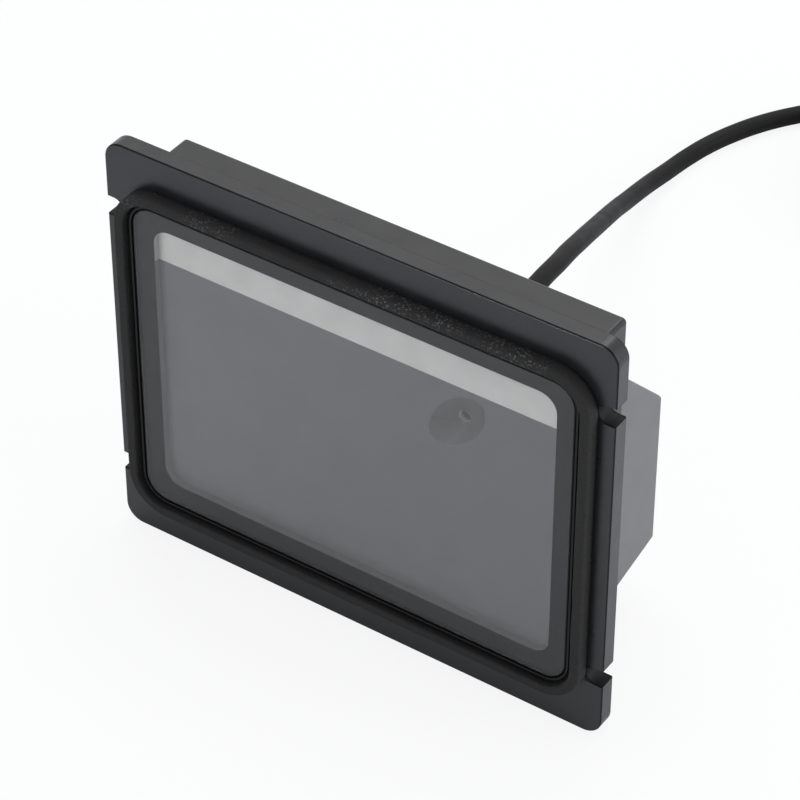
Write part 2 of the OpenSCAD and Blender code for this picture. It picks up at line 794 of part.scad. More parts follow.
module lens_holder() {
    cavity = holder_side - 3.6;
    cavity_l = sensor_t + 1.3;
    color([0.1, 0.1, 0.1])
    difference() {
        translate([camera_x, 0, camera_z]) slab(holder_y, holder_l)
            rounded_rect([holder_side, holder_side], 1, $fn = small_fn);
        rod(camera_x, holder_y - cut, camera_z, barrel_d + 0.1, holder_l);
        translate([camera_x, 0, camera_z]) slab(camera_board_y - cavity_l, cavity_l + cut)
            square(cavity, center = true);
    }
}

module image_sensor() {
    color([0.35, 0.4, 0.45])
    translate([camera_x, 0, camera_z]) slab(camera_board_y - sensor_t, sensor_t)
        square([6.4, 5.2], center = true);
}

module camera_board() {
    color([0.05, 0.3, 0.18])
    difference() {
        translate([camera_x, 0, camera_z]) slab(camera_board_y, camera_board_t)
            rounded_rect([camera_board_w, camera_board_h], 1, $fn = small_fn);
        at_camera_screws() clearance_hole(0, camera_board_y, 0, camera_board_t);
    }
}

module camera_screws() {
    color("silver")
    at_camera_screws()
        screw_to_front(0, camera_board_y + camera_board_t, 0, camera_board_t + camera_bite);
}

module main_board() {
    color([0.05, 0.32, 0.18])
    translate([0, 0, board_z])
        difference() {
            slab(board_y, board_t) rounded_rect([board_w, board_h], 1.5, $fn = small_fn);
            four_corners(board_post_x, board_post_z)
                clearance_hole(0, board_y, 0, board_t);
        }
}

// The chips sit on the board's front face.
module chip(x, size, t) {
    translate([x, 0, board_z - 2]) slab(board_y - t, t)
        rounded_rect(size, 0.3, $fn = small_fn);
}

module processor() {
    color([0.12, 0.12, 0.13]) chip(0, [processor_side, processor_side], 1.4);
}

module memory_chip() {
    size = [9, 11];
    color([0.12, 0.12, 0.13]) chip(processor_side / 2 + size.x / 2 + 2.5, size, 1);
}

module flex_socket(x, y, z) {
    translate([x, 0, z]) slab(y, socket.z) square([socket.x, socket.y], center = true);
}

module flex_sockets() {
    color([0.8, 0.78, 0.7]) {
        flex_socket(camera_flex_x, camera_board_y + camera_board_t, camera_socket_z);
        flex_socket(light_flex_x, light_board_y + light_board_t, light_mid_z);
        flex_socket(camera_flex_x, board_y - socket.z, main_socket_z);
        flex_socket(light_flex_x, board_y - socket.z, main_socket_z);
    }
}

// A flex that leaves one socket downwards and enters the other from above.
module flex(x, back, z) {
    start = [back + socket.z / 2, z - socket.y / 2];
    end = [board_y - socket.z / 2, main_socket_z + socket.y / 2];
    color([0.85, 0.6, 0.25])
    across(x, flex_w)
        strip([start, start - [0, 1.4], end + [0, 1.6], end], flex_t);
}

module camera_flex() {
    flex(camera_flex_x, camera_board_y + camera_board_t, camera_socket_z);
}

module light_flex() {
    flex(light_flex_x, light_board_y + light_board_t, light_mid_z);
}

module buzzer() {
    edge = 0.5;
    hole_r = 1;
    from_board_edge = 14;
    back = board_back + buzzer_h;
    color([0.08, 0.08, 0.08])
    turned(from_board_edge - board_w / 2, board_z)
        polygon([[0, board_back], [buzzer_d / 2, board_back],
                 [buzzer_d / 2, back - edge], [buzzer_d / 2 - edge, back],
                 [hole_r, back], [hole_r, back - 1], [0, back - 1]]);
}

module board_screws() {
    color("silver")
    translate([0, 0, board_z]) four_corners(board_post_x, board_post_z)
        screw_to_rear(0, board_y, 0, board_t + screw_bite);
}

// Box header on the main board, and the lead's crimp housing in it.
header_floor = 1;
lead_plug_back = board_back + header_floor + lead_plug_size.z;

module lead_socket() {
    play = 0.1;
    color([0.92, 0.9, 0.85])
    translate([0, 0, outlet_z])
        difference() {
            slab(board_back, lead_socket_size.z)
                square([lead_socket_size.x, lead_socket_size.y], center = true);
            slab(board_back + header_floor, lead_socket_size.z)
                square([lead_plug_size.x + play, lead_plug_size.y + play], center = true);
        }
}

module lead_plug() {
    color([0.92, 0.9, 0.85])
    translate([0, 0, outlet_z]) slab(board_back + header_floor, lead_plug_size.z)
        square([lead_plug_size.x, lead_plug_size.y], center = true);
}

// Side outline of the wedge, as [depth, height], from any depth to the rear face.
function wedge_outline(y) = [
    [y, roof_z - (y - case_depth) * tan(roof_angle)],
    [y, underside_z + (y - case_depth) * tan(underside_angle)],
    [cover_rear_y, cover_foot_z],
    [cover_rear_y, cover_edge_z]
];

// A long bar whose top face lies on the line from p to q, with two rounded edges.
module face_bar(p, q) {
    d = q - p;
    depth = cover_rear_y + flange.y;
    translate([0, p.x, p.y]) rotate([atan2(-d.x, d.y), 0, 0])
        translate([0, 0, -flange.y]) linear_extrude(3 * flange.y)
            translate([0, -depth / 2]) rounded_rect([cover_w, depth], cover_side_r);
}

// Depth by which the wedge's solid sinks in the cover's plate.
wedge_root = 0.2;

module wedge_solid() {
    points = wedge_outline(case_depth - wedge_root);
    intersection() {
        across(0, cover_w) rounded_outline(points, [0, 0, cover_foot_r, cover_edge_r]);
        face_bar(points[3], points[0]);
        face_bar(points[2], points[3]);
        face_bar(points[1], points[2]);
    }
}

module wedge_hollow() {
    across(0, cover_w - 2 * cover_wall)
        polygon(inset_outline(wedge_outline(cover_plate_y - cover_wall - cut), cover_wall));
}

module rear_cover() {
    color([0.2, 0.2, 0.21])
    difference() {
        union() {
            difference() {
                union() {
                    slab(cover_plate_y, cover_plate_t)
                        rounded_rect(grown(case_inner, -cover_gap, -cover_gap), case_inner_r);
                    wedge_solid();
                }
                wedge_hollow();
            }
            // Posts for the main board, cut off by the sloping roof
            intersection() {
                wedge_solid();
                translate([0, 0, board_z]) four_corners(board_post_x, board_post_z)
                    rod(0, board_back, 0, post_d, cover_rear_y);
            }
        }
        translate([0, 0, board_z]) four_corners(board_post_x, board_post_z)
            thread_hole(0, board_back - cut, 0, screw_bite + blind_extra + cut);
        four_corners(boss_x, boss_z) clearance_hole(0, cover_plate_y, 0, cover_plate_t);
        rod(0, cover_inner_y - cut, outlet_z, relief_neck_d + 0.1, cover_wall + 2 * cut);
    }
}

module cover_screws() {
    color("silver")
    four_corners(boss_x, boss_z)
        screw_to_front(0, case_depth, 0, cover_plate_t + screw_bite);
}

// Ribbed strain relief that clips in the rear wall.
module strain_relief() {
    bore_r = lead_d / 2 + 0.05;
    collar_r = relief_collar_d / 2;
    edge = 0.6;
    pitch = relief_sleeve_l / (rib_count + 0.5);
    function sleeve_r(y) =
        (relief_sleeve_d + (relief_tip_d - relief_sleeve_d) * (y - sleeve_y) / relief_sleeve_l) / 2;
    color([0.09, 0.09, 0.09])
    turned(0, outlet_z)
        polygon(concat(
            [[bore_r, cover_inner_y - relief_inner_t], [collar_r, cover_inner_y - relief_inner_t],
             [collar_r, cover_inner_y], [relief_neck_d / 2, cover_inner_y],
             [relief_neck_d / 2, cover_rear_y], [collar_r, cover_rear_y],
             [collar_r, sleeve_y - edge], [collar_r - edge, sleeve_y]],
            [for (i = [0 : rib_count - 1])
                let (y = sleeve_y + i * pitch, step = y + pitch / 3, end = y + pitch,
                     sunk = i == 0 ? 0 : groove)
                each [[sleeve_r(y) - sunk, y], [sleeve_r(step) - sunk, step],
                      [sleeve_r(step), step], [sleeve_r(end), end]]],
            [[sleeve_r(relief_end_y) - groove / 2, sleeve_y + rib_count * pitch],
             [relief_tip_d / 2 - groove / 2, relief_end_y], [bore_r, relief_end_y]]));
}

module inner_lead() {
    color([0.12, 0.12, 0.12])
    rod(0, lead_plug_back, outlet_z, lead_d, relief_end_y - lead_plug_back);
}

module lead_run() {
    color([0.12, 0.12, 0.12]) swept_tube(run_points, lead_d);
}

// The turns of the coil, as one ring of their outer shape.
module lead_coil() {
    color([0.12, 0.12, 0.12])
    translate([coil_at.x, coil_at.y, coil_base]) rotate_extrude()
        translate([coil_turn_r, coil_h / 2])
            rounded_rect([2 * coil_half_w, coil_h], lead_d / 2 - tie_gap, $fn = small_fn);
}

module coil_tie() {
    band = [2 * (coil_half_w + tie_gap), coil_h + 2 * tie_gap];
    color([0.05, 0.05, 0.05])
    translate([coil_at.x, coil_at.y - coil_turn_r, coil_base + coil_h / 2]) {
        across(0, tie_w)
            difference() {
                rounded_rect(grown(band, tie_t, tie_t), lead_d / 2, $fn = small_fn);
                rounded_rect(band, lead_d / 2 - tie_t, $fn = small_fn);
            }
        translate([0, 0, band.y / 2 + tie_t / 2 + tie_lug.z / 2]) cube(tie_lug, center = true);
    }
}

module lead_tail() {
    color([0.12, 0.12, 0.12]) swept_tube(tail_points, lead_d);
}

// The plug lies flat beside the coil and points back along the scanner's side.
module plug_place() {
    translate([tail_x, plug_back_y, plug_z]) rotate([90, 0, 0]) children();
}
plug_body_start = plug_sleeve_l;
plug_body_end = plug_sleeve_l + plug_size.z;

module usb_plug_body() {
    color([0.1, 0.1, 0.1])
    plug_place() {
        cylinder(d1 = lead_d + 0.8, d2 = lead_d + 2.6, h = plug_sleeve_l);
        translate([0, 0, plug_body_start])
            difference() {
                linear_extrude(plug_size.z) rounded_rect([plug_size.x, plug_size.y], 2);
                // Grip recess across the top
                for (i = [0 : 3])
                    translate([-plug_size.x / 2 + 3, plug_size.y / 2 - 0.4, 4 + i * 2.4])
                        cube([plug_size.x - 6, cut, 1.2]);
            }
    }
}

module usb_shell() {
    color("silver")
    plug_place() translate([0, 0, plug_body_end])
        difference() {
            linear_extrude(shell_size.z)
                difference() {
                    rounded_rect([shell_size.x, shell_size.y], 0.5, $fn = small_fn);
                    square([shell_size.x - 2 * shell_wall, shell_size.y - 2 * shell_wall],
                           center = true);
                }
            for (s = [-1, 1])
                translate([s * 2.9 - 1.1, -shell_size.y, 8.6]) cube([2.2, 2 * shell_size.y, 2.2]);
        }
}

tongue_t = 1.8;
tongue_y = -(shell_size.y / 2 - shell_wall - tongue_t / 2);

module usb_tongue() {
    color([0.92, 0.92, 0.9])
    plug_place() translate([0, tongue_y, plug_body_end])
        linear_extrude(shell_size.z - 1)
            square([shell_size.x - 2 * shell_wall, tongue_t], center = true);
}

module usb_contacts() {
    color("gold")
    plug_place()
        for (i = [0 : 3])
            translate([(i - 1.5) * 2.3 - 0.5, tongue_y + tongue_t / 2, plug_body_end + 6.5])
                cube([1, 0.25, 8.6]);
}

front_case();
foam_gasket();
front_glass();
glass_tape();
inner_panel();
panel_screws();
light_diffuser();
light_board();
light_leds();
light_board_screws();
lens_barrel();
front_lens();
lens_holder();
image_sensor();
camera_board();
camera_screws();
main_board();
processor();
memory_chip();
flex_sockets();
camera_flex();
light_flex();
buzzer();
board_screws();
lead_socket();
lead_plug();
rear_cover();
cover_screws();
strain_relief();
inner_lead();
lead_run();
lead_coil();
coil_tie();
lead_tail();
usb_plug_body();
usb_shell();
usb_tongue();
usb_contacts();
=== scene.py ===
"""Looks of a panel-mounted barcode scanner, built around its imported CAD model."""

import logging
import math
from dataclasses import dataclass, field
from enum import Enum
from typing import List, Mapping, Optional, Sequence, Tuple, Union

import bmesh
import bpy
from mathutils import Matrix, Vector, noise


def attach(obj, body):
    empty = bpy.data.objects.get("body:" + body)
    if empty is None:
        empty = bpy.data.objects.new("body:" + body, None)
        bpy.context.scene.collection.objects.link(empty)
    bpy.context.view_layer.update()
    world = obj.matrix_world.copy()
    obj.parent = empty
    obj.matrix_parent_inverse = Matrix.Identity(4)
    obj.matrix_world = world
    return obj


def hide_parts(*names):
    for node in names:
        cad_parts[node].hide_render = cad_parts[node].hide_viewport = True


Point = Tuple[float, float, float]
Span = Tuple[float, float]
Setting = Union[float, int, bool, str, Sequence[float]]
Tree = bpy.types.NodeTree
Node = bpy.types.Node
Socket = bpy.types.NodeSocket
Mesh = bmesh.types.BMesh
Edge = bmesh.types.BMEdge

LOG = logging.getLogger("scanner")
MM = 0.001
ORIGIN: Point = (0.0, 0.0, 0.0)
# A distance beyond every point of the scanner, in millimetres.
FAR = 200.0
# The values between which a noise swings, as seen in full and with more contrast.
SWING: Span = (0.3, 0.7)
STRONG_SWING: Span = (0.35, 0.65)
BODY = "root"

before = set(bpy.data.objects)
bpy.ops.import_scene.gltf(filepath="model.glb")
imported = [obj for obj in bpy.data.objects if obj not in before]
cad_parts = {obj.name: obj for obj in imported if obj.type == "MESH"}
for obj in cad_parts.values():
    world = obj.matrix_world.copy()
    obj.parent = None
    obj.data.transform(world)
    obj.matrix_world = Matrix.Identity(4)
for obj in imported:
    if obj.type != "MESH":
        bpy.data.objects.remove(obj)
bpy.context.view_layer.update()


# Small tools


def linear(hex_colour: str) -> Tuple[float, float, float, float]:
    """Turns an sRGB hex colour to linear, by the curve of that standard.

    Args:
        hex_colour: Six hex digits, such as "1c1d1f".

    Returns:
        Linear red, green and blue, and an alpha of 1.
    """
    parts = [int(hex_colour[i : i + 2], 16) / 255 for i in (0, 2, 4)]
    red, green, blue = (p / 12.92 if p <= 0.04045 else ((p + 0.055) / 1.055) ** 2.4 for p in parts)
    return red, green, blue, 1.0


def per_metre(size_mm: float) -> float:
    """The texture scale at which one feature is size_mm across."""
    return 1 / (size_mm * MM)


def smooth_step(x: float) -> float:
    """A step from 0 to 1 that starts and ends level."""
    x = min(max(x, 0.0), 1.0)
    return x * x * (3 - 2 * x)


def new_object(name: str, data: bpy.types.ID) -> bpy.types.Object:
    """Makes an object of its data, and links it to the scene.

    Args:
        name: The object's name.
        data: Its mesh, curve, lamp or camera.

    Returns:
        The object.
    """
    made = bpy.data.objects.new(name, data)
    bpy.context.scene.collection.objects.link(made)
    return made


def new_piece(name: str, mesh: Mesh) -> bpy.types.Object:
    """Makes a smooth object of a bmesh, and frees the bmesh.

    Args:
        name: The piece's name.
        mesh: Its mesh, in metres in the frame of the CAD.

    Returns:
        The object.
    """
    data = bpy.data.meshes.new(name)
    bmesh.ops.recalc_face_normals(mesh, faces=mesh.faces)
    mesh.to_mesh(data)
    mesh.free()
    data.shade_smooth()
    return new_object(name, data)


# Tools for materials


def add_node(
    tree: Tree,
    kind: str,
    settings: Optional[Mapping[str, Setting]] = None,
    links: Optional[Mapping[Union[str, int], Socket]] = None,
) -> Node:
    """Adds one node with its settings and links.

    Args:
        tree: The node tree.
        kind: The node's type without its first words, such as "Bump".
        settings: Values of properties first, then of input sockets by name.
        links: The output socket that feeds each input socket, by name or place.

    Returns:
        The new node.
    """
    node = tree.nodes.new("ShaderNode" + kind)
    for name, value in (settings or {}).items():
        if hasattr(node, name):
            setattr(node, name, value)
        else:
            node.inputs[name].default_value = value
    for name, socket in (links or {}).items():
        tree.links.new(socket, node.inputs[name])
    return node


def place(tree: Tree) -> Socket:
    """The socket that gives a point's place on the piece, in metres."""
    return add_node(tree, "TexCoord").outputs["Object"]


def along(tree: Tree, axis: str) -> Socket:
    """The socket of a point's place along one axis of the piece, in metres."""
    return add_node(tree, "SeparateXYZ", None, {"Vector": place(tree)}).outputs[axis]


def grain(tree: Tree, size_mm: float, detail: float = 2.0, stretch: Point = (1, 1, 1)) -> Socket:
    """A noise whose grains have a real size.

    Args:
        tree: The material's nodes.
        size_mm: How far apart the grains lie.
        detail: How many finer layers it has.
        stretch: How many times finer it is along each axis.

    Returns:
        The socket of its value, from 0 to 1.
    """
    spot = add_node(tree, "Mapping", {"Scale": stretch}, {"Vector": place(tree)})
    return add_node(
        tree,
        "TexNoise",
        {"Scale": per_metre(size_mm), "Detail": detail},
        {"Vector": spot.outputs["Vector"]},
    ).outputs["Fac"]


def ranged(tree: Tree, value: Socket, span: Span, low: float, high: float) -> Socket:
    """Stretches a value's range.

    Args:
        tree: The material's nodes.
        value: The socket to stretch.
        span: Its lowest and highest value that count.
        low: The result at the lowest.
        high: The result at the highest.

    Returns:
        The socket of the result.
    """
    return add_node(
        tree,
        "MapRange",
        {"From Min": span[0], "From Max": span[1], "To Min": low, "To Max": high},
        {"Value": value},
    ).outputs["Result"]


def ranged_mm(tree: Tree, length: Socket, span: Span, low: float, high: float) -> Socket:
    """Stretches a length's range, of which the span is given in millimetres."""
    return ranged(tree, length, (span[0] * MM, span[1] * MM), low, high)


def tinted(tree: Tree, shader: Node, share: Socket, first: str, second: str) -> None:
    """Gives a shader a colour between two hex colours.

    Args:
        tree: The material's nodes.
        shader: The node to tint.
        share: The socket that says how much of the second there is.
        first: The first colour.
        second: The second colour.
    """
    ramp = add_node(tree, "ValToRGB", None, {"Fac": share})
    ramp.color_ramp.elements[0].color = linear(first)
    ramp.color_ramp.elements[1].color = linear(second)
    tree.links.new(ramp.outputs["Color"], shader.inputs["Base Color"])


def mixed(tree: Tree, share: Socket, first: Socket, second: Socket) -> Socket:
    """A surface between two, of which the share says how much of the second there is."""
    links = {0: share, 1: first, 2: second}
    return add_node(tree, "MixShader", None, links).outputs["Shader"]


def roughened(tree: Tree, shader: Node, height: Socket, depth_mm: float) -> None:
    """Gives a shader a bump of a real depth.

    Args:
        tree: The material's nodes.
        shader: The node whose normal is bent.
        height: The socket of the height, from 0 to 1.
        depth_mm: The height that 1 stands for.
    """
    look = {"Strength": 1.0, "Distance": depth_mm * MM}
    bump = add_node(tree, "Bump", look, {"Height": height})
    tree.links.new(bump.outputs["Normal"], shader.inputs["Normal"])


def beyond(tree: Tree, core: Point, middle: Point = ORIGIN, fold: bool = False) -> Socket:
    """How far a point of the piece lies outside a box, in metres.

    Args:
        tree: The material's nodes.
        core: Half the box's size along each axis, in millimetres.
        middle: The box's middle, in millimetres.
        fold: Whether the box is repeated on the other sides of the piece's middle.

    Returns:
        The socket of the distance, which is 0 inside.
    """
    spot = place(tree)
    steps = [("SUBTRACT", middle), ("ABSOLUTE", ORIGIN), ("SUBTRACT", core), ("MAXIMUM", ORIGIN)]
    if fold:
        steps.insert(0, ("ABSOLUTE", ORIGIN))
    for operation, value in steps:
        step = add_node(tree, "VectorMath", {"operation": operation}, {0: spot})
        step.inputs[1].default_value = tuple(c * MM for c in value)
        spot = step.outputs["Vector"]
    length = add_node(tree, "VectorMath", {"operation": "LENGTH"}, {0: spot})
    return length.outputs["Value"]


def combined(tree: Tree, operation: str, *values: Socket) -> Socket:
    """Joins values two by two with one operation.

    Args:
        tree: The material's nodes.
        operation: The Math node's operation.
        *values: The sockets to join.

    Returns:
        The socket of the result.
    """
    result = values[0]
    for value in values[1:]:
        links = {0: result, 1: value}
        result = add_node(tree, "Math", {"operation": operation}, links).outputs[0]
    return result


# Finishes


@dataclass(frozen=True)
class Finish:
    """A surface finish, which makes one material.

    Attributes:
        name: The real finish.
        colour: Its sRGB hex colour.
        roughness: Its mean roughness.
        metallic: 1 for bare or plated metal.
    """

    name: str
    colour: str
    roughness: float
    metallic: float = 0.0

    def material(self) -> bpy.types.Material:
        """Makes the material, or finds the one made before."""
        made = bpy.data.materials.get(self.name)
        if made is not None:
            return made
        made = bpy.data.materials.new(self.name)
        made.use_nodes = True
        tree = made.node_tree
        tree.nodes.clear()
        look = {"Base Color": linear(self.colour), "Roughness": self.roughness}
        look["Metallic"] = self.metallic
        last = self.detail(tree, add_node(tree, "BsdfPrincipled", look))
        add_node(tree, "OutputMaterial", None, {"Surface": last})
        return made

    def detail(self, tree: Tree, shader: Node) -> Socket:
        """Adds the finish's own detail.

        Args:
            tree: The material's nodes.
            shader: Its Principled node.

        Returns:
            The socket that the surface shows.
        """
        return shader.outputs["BSDF"]

    def dress(self, piece: bpy.types.Object, slot: str) -> None:
        """Puts the material on a piece.

        Args:
            piece: The piece to dress.
            slot: The slot's name, which is not used.
        """
        if not piece.data.materials:
            piece.data.materials.append(None)
        piece.material_slots[0].material = self.material()


@dataclass(frozen=True)
class Patch:
    """A plain look that a part of a piece has instead of the rest's.

    Attributes:
        colour: Its sRGB hex colour.
        roughness: Its roughness.
        sheen: Its specular level.
    """

    colour: str
    roughness: float = 0.8
    sheen: float = 0.15

    def surface(self, tree: Tree) -> Socket:
        """The socket of the look's own shader."""
        look = {"Base Color": linear(self.colour), "Roughness": self.roughness}
        look["Specular IOR Level"] = self.sheen
        return add_node(tree, "BsdfPrincipled", look).outputs["BSDF"]


@dataclass(frozen=True)
class Moulded(Finish):
    """A plastic moulded in a spark-eroded tool.

    Attributes:
        pale: The colour of its palest patches.
        grain_mm: How far apart the tool's grains lie.
        depth_mm: How deep they are.
        polish: How far its roughness swings.
        flow_mm: How far apart the flow marks lie.
        contrast: The values of their noise between which the colour changes.
        rub_mm: How far apart the rubbed places lie.
    """

    pale: str = ""
    grain_mm: float = 0.35
    depth_mm: float = 0.006
    polish: float = 0.08
    flow_mm: float = 14.0
    contrast: Span = STRONG_SWING
    rub_mm: float = 6.0

    def detail(self, tree: Tree, shader: Node) -> Socket:
        """Adds the flow marks in the colour, the uneven polish, the grain and the patches.

        Args:
            tree: The material's nodes.
            shader: Its Principled node.

        Returns:
            The socket that the surface shows.
        """
        flow = ranged(tree, grain(tree, self.flow_mm, detail=3), self.contrast, 0, 1)
        tinted(tree, shader, flow, self.colour, self.pale)
        low, high = self.roughness - self.polish, self.roughness + self.polish
        rub = ranged(tree, grain(tree, self.rub_mm, detail=4), SWING, low, high)
        tree.links.new(rub, shader.inputs["Roughness"])
        if self.depth_mm > 0:
            roughened(tree, shader, grain(tree, self.grain_mm), self.depth_mm)
        result = shader.outputs["BSDF"]
        for share, patch in self.patches(tree):
            result = mixed(tree, share, result, patch.surface(tree))
        return result

    def patches(self, tree: Tree) -> List[Tuple[Socket, Patch]]:
        """The places that look different, each with the socket of its share."""
        return []


@dataclass(frozen=True)
class Line:
    """A line that runs all round a piece at one depth.

    Attributes:
        y: The depth of its middle.
        half: Half its width.
        fade: How far from it its look fades out.
        share: How much of its look shows.
        patch: Its look.
    """

    y: float
    half: float
    fade: Span
    share: float
    patch: Patch

    def drawn(self, tree: Tree) -> Tuple[Socket, Patch]:
        """The socket of the line's share, and its look."""
        out = beyond(tree, (FAR, self.half, FAR), (0, self.y, 0))
        return ranged_mm(tree, out, self.fade, self.share, 0), self.patch


@dataclass(frozen=True)
class CaseShell(Moulded):
    """The front case's plastic, with painted shade on slots, rim and edges, and painted light in
    its opening.

    Attributes:
        slot_middle: The middle of a mounting slot.
        slot_half: Half the slot's size.
        rim_y: The depth in front of which the rim round the glass stands.
        matt_and_shade: The look of the slots and the rim: painted shade, on a rougher, duller
            surface.
        back_edge_shade: A darker, duller line of painted shade on the flange's back edge, over its
            highlight.
        edge: A dark line of painted reflection along the flange's rounded front edge.
        opening_half: Half the size of a box just inside the opening's walls.
        opening_middle: The middle of that box.
        opening_fade: How far from the box the walls' look fades out.
        painted_wall_light: Painted light on the opening's walls, which are made grey as if lit.
        bar_z: The height above which the light bar shines on the walls.
        lit_wall: Their look there.
        soft: How far a look takes to begin elsewhere.
    """

    slot_middle: Point = (57.5, 2.0, 32.35)
    slot_half: Point = (3.9, 5.0, 2.13)
    rim_y: float = -0.1
    # Painted shade in the slots and on the rim, on a rougher, duller surface.
    matt_and_shade: Patch = Patch("0d0d0e", 0.6, 0.25)
    # Painted shade over the highlight on the flange's back edge.
    back_edge_shade: Line = Line(3.85, 0.12, (0.05, 0.2), 0.5, Patch("0b0b0c"))
    # Painted reflection: a dark line along the flange's front edge.
    edge: Line = Line(0.22, 0.1, (0.02, 0.08), 0.8, Patch("050506"))
    opening_half: Point = (45.85, 4.0, 32.05)
    opening_middle: Point = (0.0, 0.0, 0.4)
    opening_fade: Span = (0.3, 0.4)
    # Painted light: the opening's walls are made grey as if lit.
    painted_wall_light: Patch = Patch("3a3c40", 0.4, 0.5)
    bar_z: float = 23.6
    lit_wall: Patch = Patch("8c8c8c", 0.4, 0.5)
    soft: float = 0.1

    def patches(self, tree: Tree) -> List[Tuple[Socket, Patch]]:
        """Painted shade on slots, rim and the flange's two edges, and painted light on the
        opening's walls.

        Args:
            tree: The material's nodes.

        Returns:
            Each look with the socket of its share, in the order of their layers.
        """
        slots = beyond(tree, self.slot_half, self.slot_middle, fold=True)
        matt_and_shade = combined(
            tree,
            "MAXIMUM",
            ranged_mm(tree, slots, (0, self.soft / 2), 1, 0),
            ranged_mm(tree, along(tree, "Y"), (self.rim_y - self.soft, self.rim_y), 1, 0),
        )
        walls = beyond(tree, self.opening_half, self.opening_middle)
        near = ranged_mm(tree, walls, self.opening_fade, 1, 0)
        by_bar = (self.bar_z, self.bar_z + 2 * self.soft)
        lit = combined(tree, "MINIMUM", near, ranged_mm(tree, along(tree, "Z"), by_bar, 0, 1))
        return [
            (matt_and_shade, self.matt_and_shade),
            self.back_edge_shade.drawn(tree),
            self.edge.drawn(tree),
            (near, self.painted_wall_light),
            (lit, self.lit_wall),
        ]


@dataclass(frozen=True)
class PortedPanel(Moulded):
    """The inner panel's plastic, with painted shade in the dish of its camera port.

    Attributes:
        axis: A point of the camera's axis.
        face_y: The depths between which the panel's face becomes the dish.
        reach: The distances from the axis between which the dish ends.
        lit: The heights between which the dish goes from lifted by painted light, at its lower
            end, to full painted shade.
        lit_share: How much of the painted shade shows at the lower one.
        dish: The look of the dish: painted shade, on a glossier surface.
        eye_y: The depths between which its eye begins.
        eye_r: The distances from the axis between which the eye ends.
        painted_glint: The pale ring in the eye, painted as a glint.
    """

    axis: Point = (23.8, 0, 15.6)
    face_y: Span = (1.51, 1.54)
    reach: Span = (9.5, 9.6)
    lit: Span = (7.0, 16.0)
    lit_share: float = 0.6
    # Painted shade in the dish, lifted towards its lower end by painted light.
    dish: Patch = Patch("090b11", 0.18, 0.3)
    eye_y: Span = (3.25, 3.3)
    eye_r: Span = (1.33, 1.38)
    # A glint painted in the eye as a pale ring.
    painted_glint: Patch = Patch("8e8e90", 0.3, 0.5)

    def patches(self, tree: Tree) -> List[Tuple[Socket, Patch]]:
        """The dish's painted shade, lifted by painted light at its lower end, and the pale ring in
        its eye, painted as a glint.

        Args:
            tree: The material's nodes.

        Returns:
            Each look with the socket of its share, in the order of their layers.
        """
        depth = along(tree, "Y")
        out = beyond(tree, (0, FAR, 0), self.axis)
        dish = combined(
            tree,
            "MINIMUM",
            ranged_mm(tree, depth, self.face_y, 0, 1),
            ranged_mm(tree, out, self.reach, 1, 0),
            ranged_mm(tree, along(tree, "Z"), self.lit, self.lit_share, 1),
        )
        painted_glint = combined(
            tree,
            "MINIMUM",
            ranged_mm(tree, depth, self.eye_y, 0, 1),
            ranged_mm(tree, out, self.eye_r, 1, 0),
        )
        return [(dish, self.dish), (painted_glint, self.painted_glint)]


@dataclass(frozen=True)
class ClosedCellFoam(Finish):
    """Die-cut foam rubber, with the cells that the cut opened.

    Attributes:
        speck: The colour of dust in the open cells.
        cell_mm: How far apart the cells lie.
        cell_depth: How deep they are, in millimetres.
        rise: The distances from a cell's middle between which its wall rises.
        fluff_mm: How far apart the finer grains lie.
        fluff_share: Their share of the depth.
        dust_z: The heights between which the dust begins.
        dust_mm: How far apart the dusty stretches lie.
        dust: The values of their noise between which the dust begins.
        pick_mm: How far apart the clusters of specks in them lie.
        pick: The values of their noise between which the specks begin.
        dot: The distances from a cell's middle between which its speck ends.
    """

    speck: str = ""
    cell_mm: float = 0.55
    cell_depth: float = 0.12
    rise: Span = (0.0, 0.6)
    fluff_mm: float = 0.25
    fluff_share: float = 0.3
    dust_z: Span = (33.0, 37.0)
    dust_mm: float = 16.0
    dust: Span = (0.52, 0.66)
    pick_mm: float = 1.1
    pick: Span = (0.38, 0.52)
    dot: Span = (0.2, 0.45)

    def detail(self, tree: Tree, shader: Node) -> Socket:
        """Adds the open cells, and the specks of dust in patches.

        Args:
            tree: The material's nodes.
            shader: Its Principled node.

        Returns:
            The socket that the surface shows.
        """
        cells = add_node(
            tree,
            "TexVoronoi",
            {"Scale": per_metre(self.cell_mm), "Randomness": 1.0},
            {"Vector": place(tree)},
        ).outputs["Distance"]
        share = combined(
            tree,
            "MULTIPLY",
            ranged(tree, grain(tree, self.dust_mm), self.dust, 0, 1),
            ranged(tree, grain(tree, self.pick_mm, detail=1), self.pick, 0, 1),
            ranged(tree, cells, self.dot, 1, 0),
            ranged_mm(tree, along(tree, "Z"), self.dust_z, 0, 1),
        )
        tinted(tree, shader, share, self.colour, self.speck)
        skin = combined(
            tree,
            "ADD",
            ranged(tree, cells, self.rise, 0, 1 - self.fluff_share),
            ranged(tree, grain(tree, self.fluff_mm), SWING, 0, self.fluff_share),
        )
        roughened(tree, shader, skin, self.cell_depth)
        return shader.outputs["BSDF"]


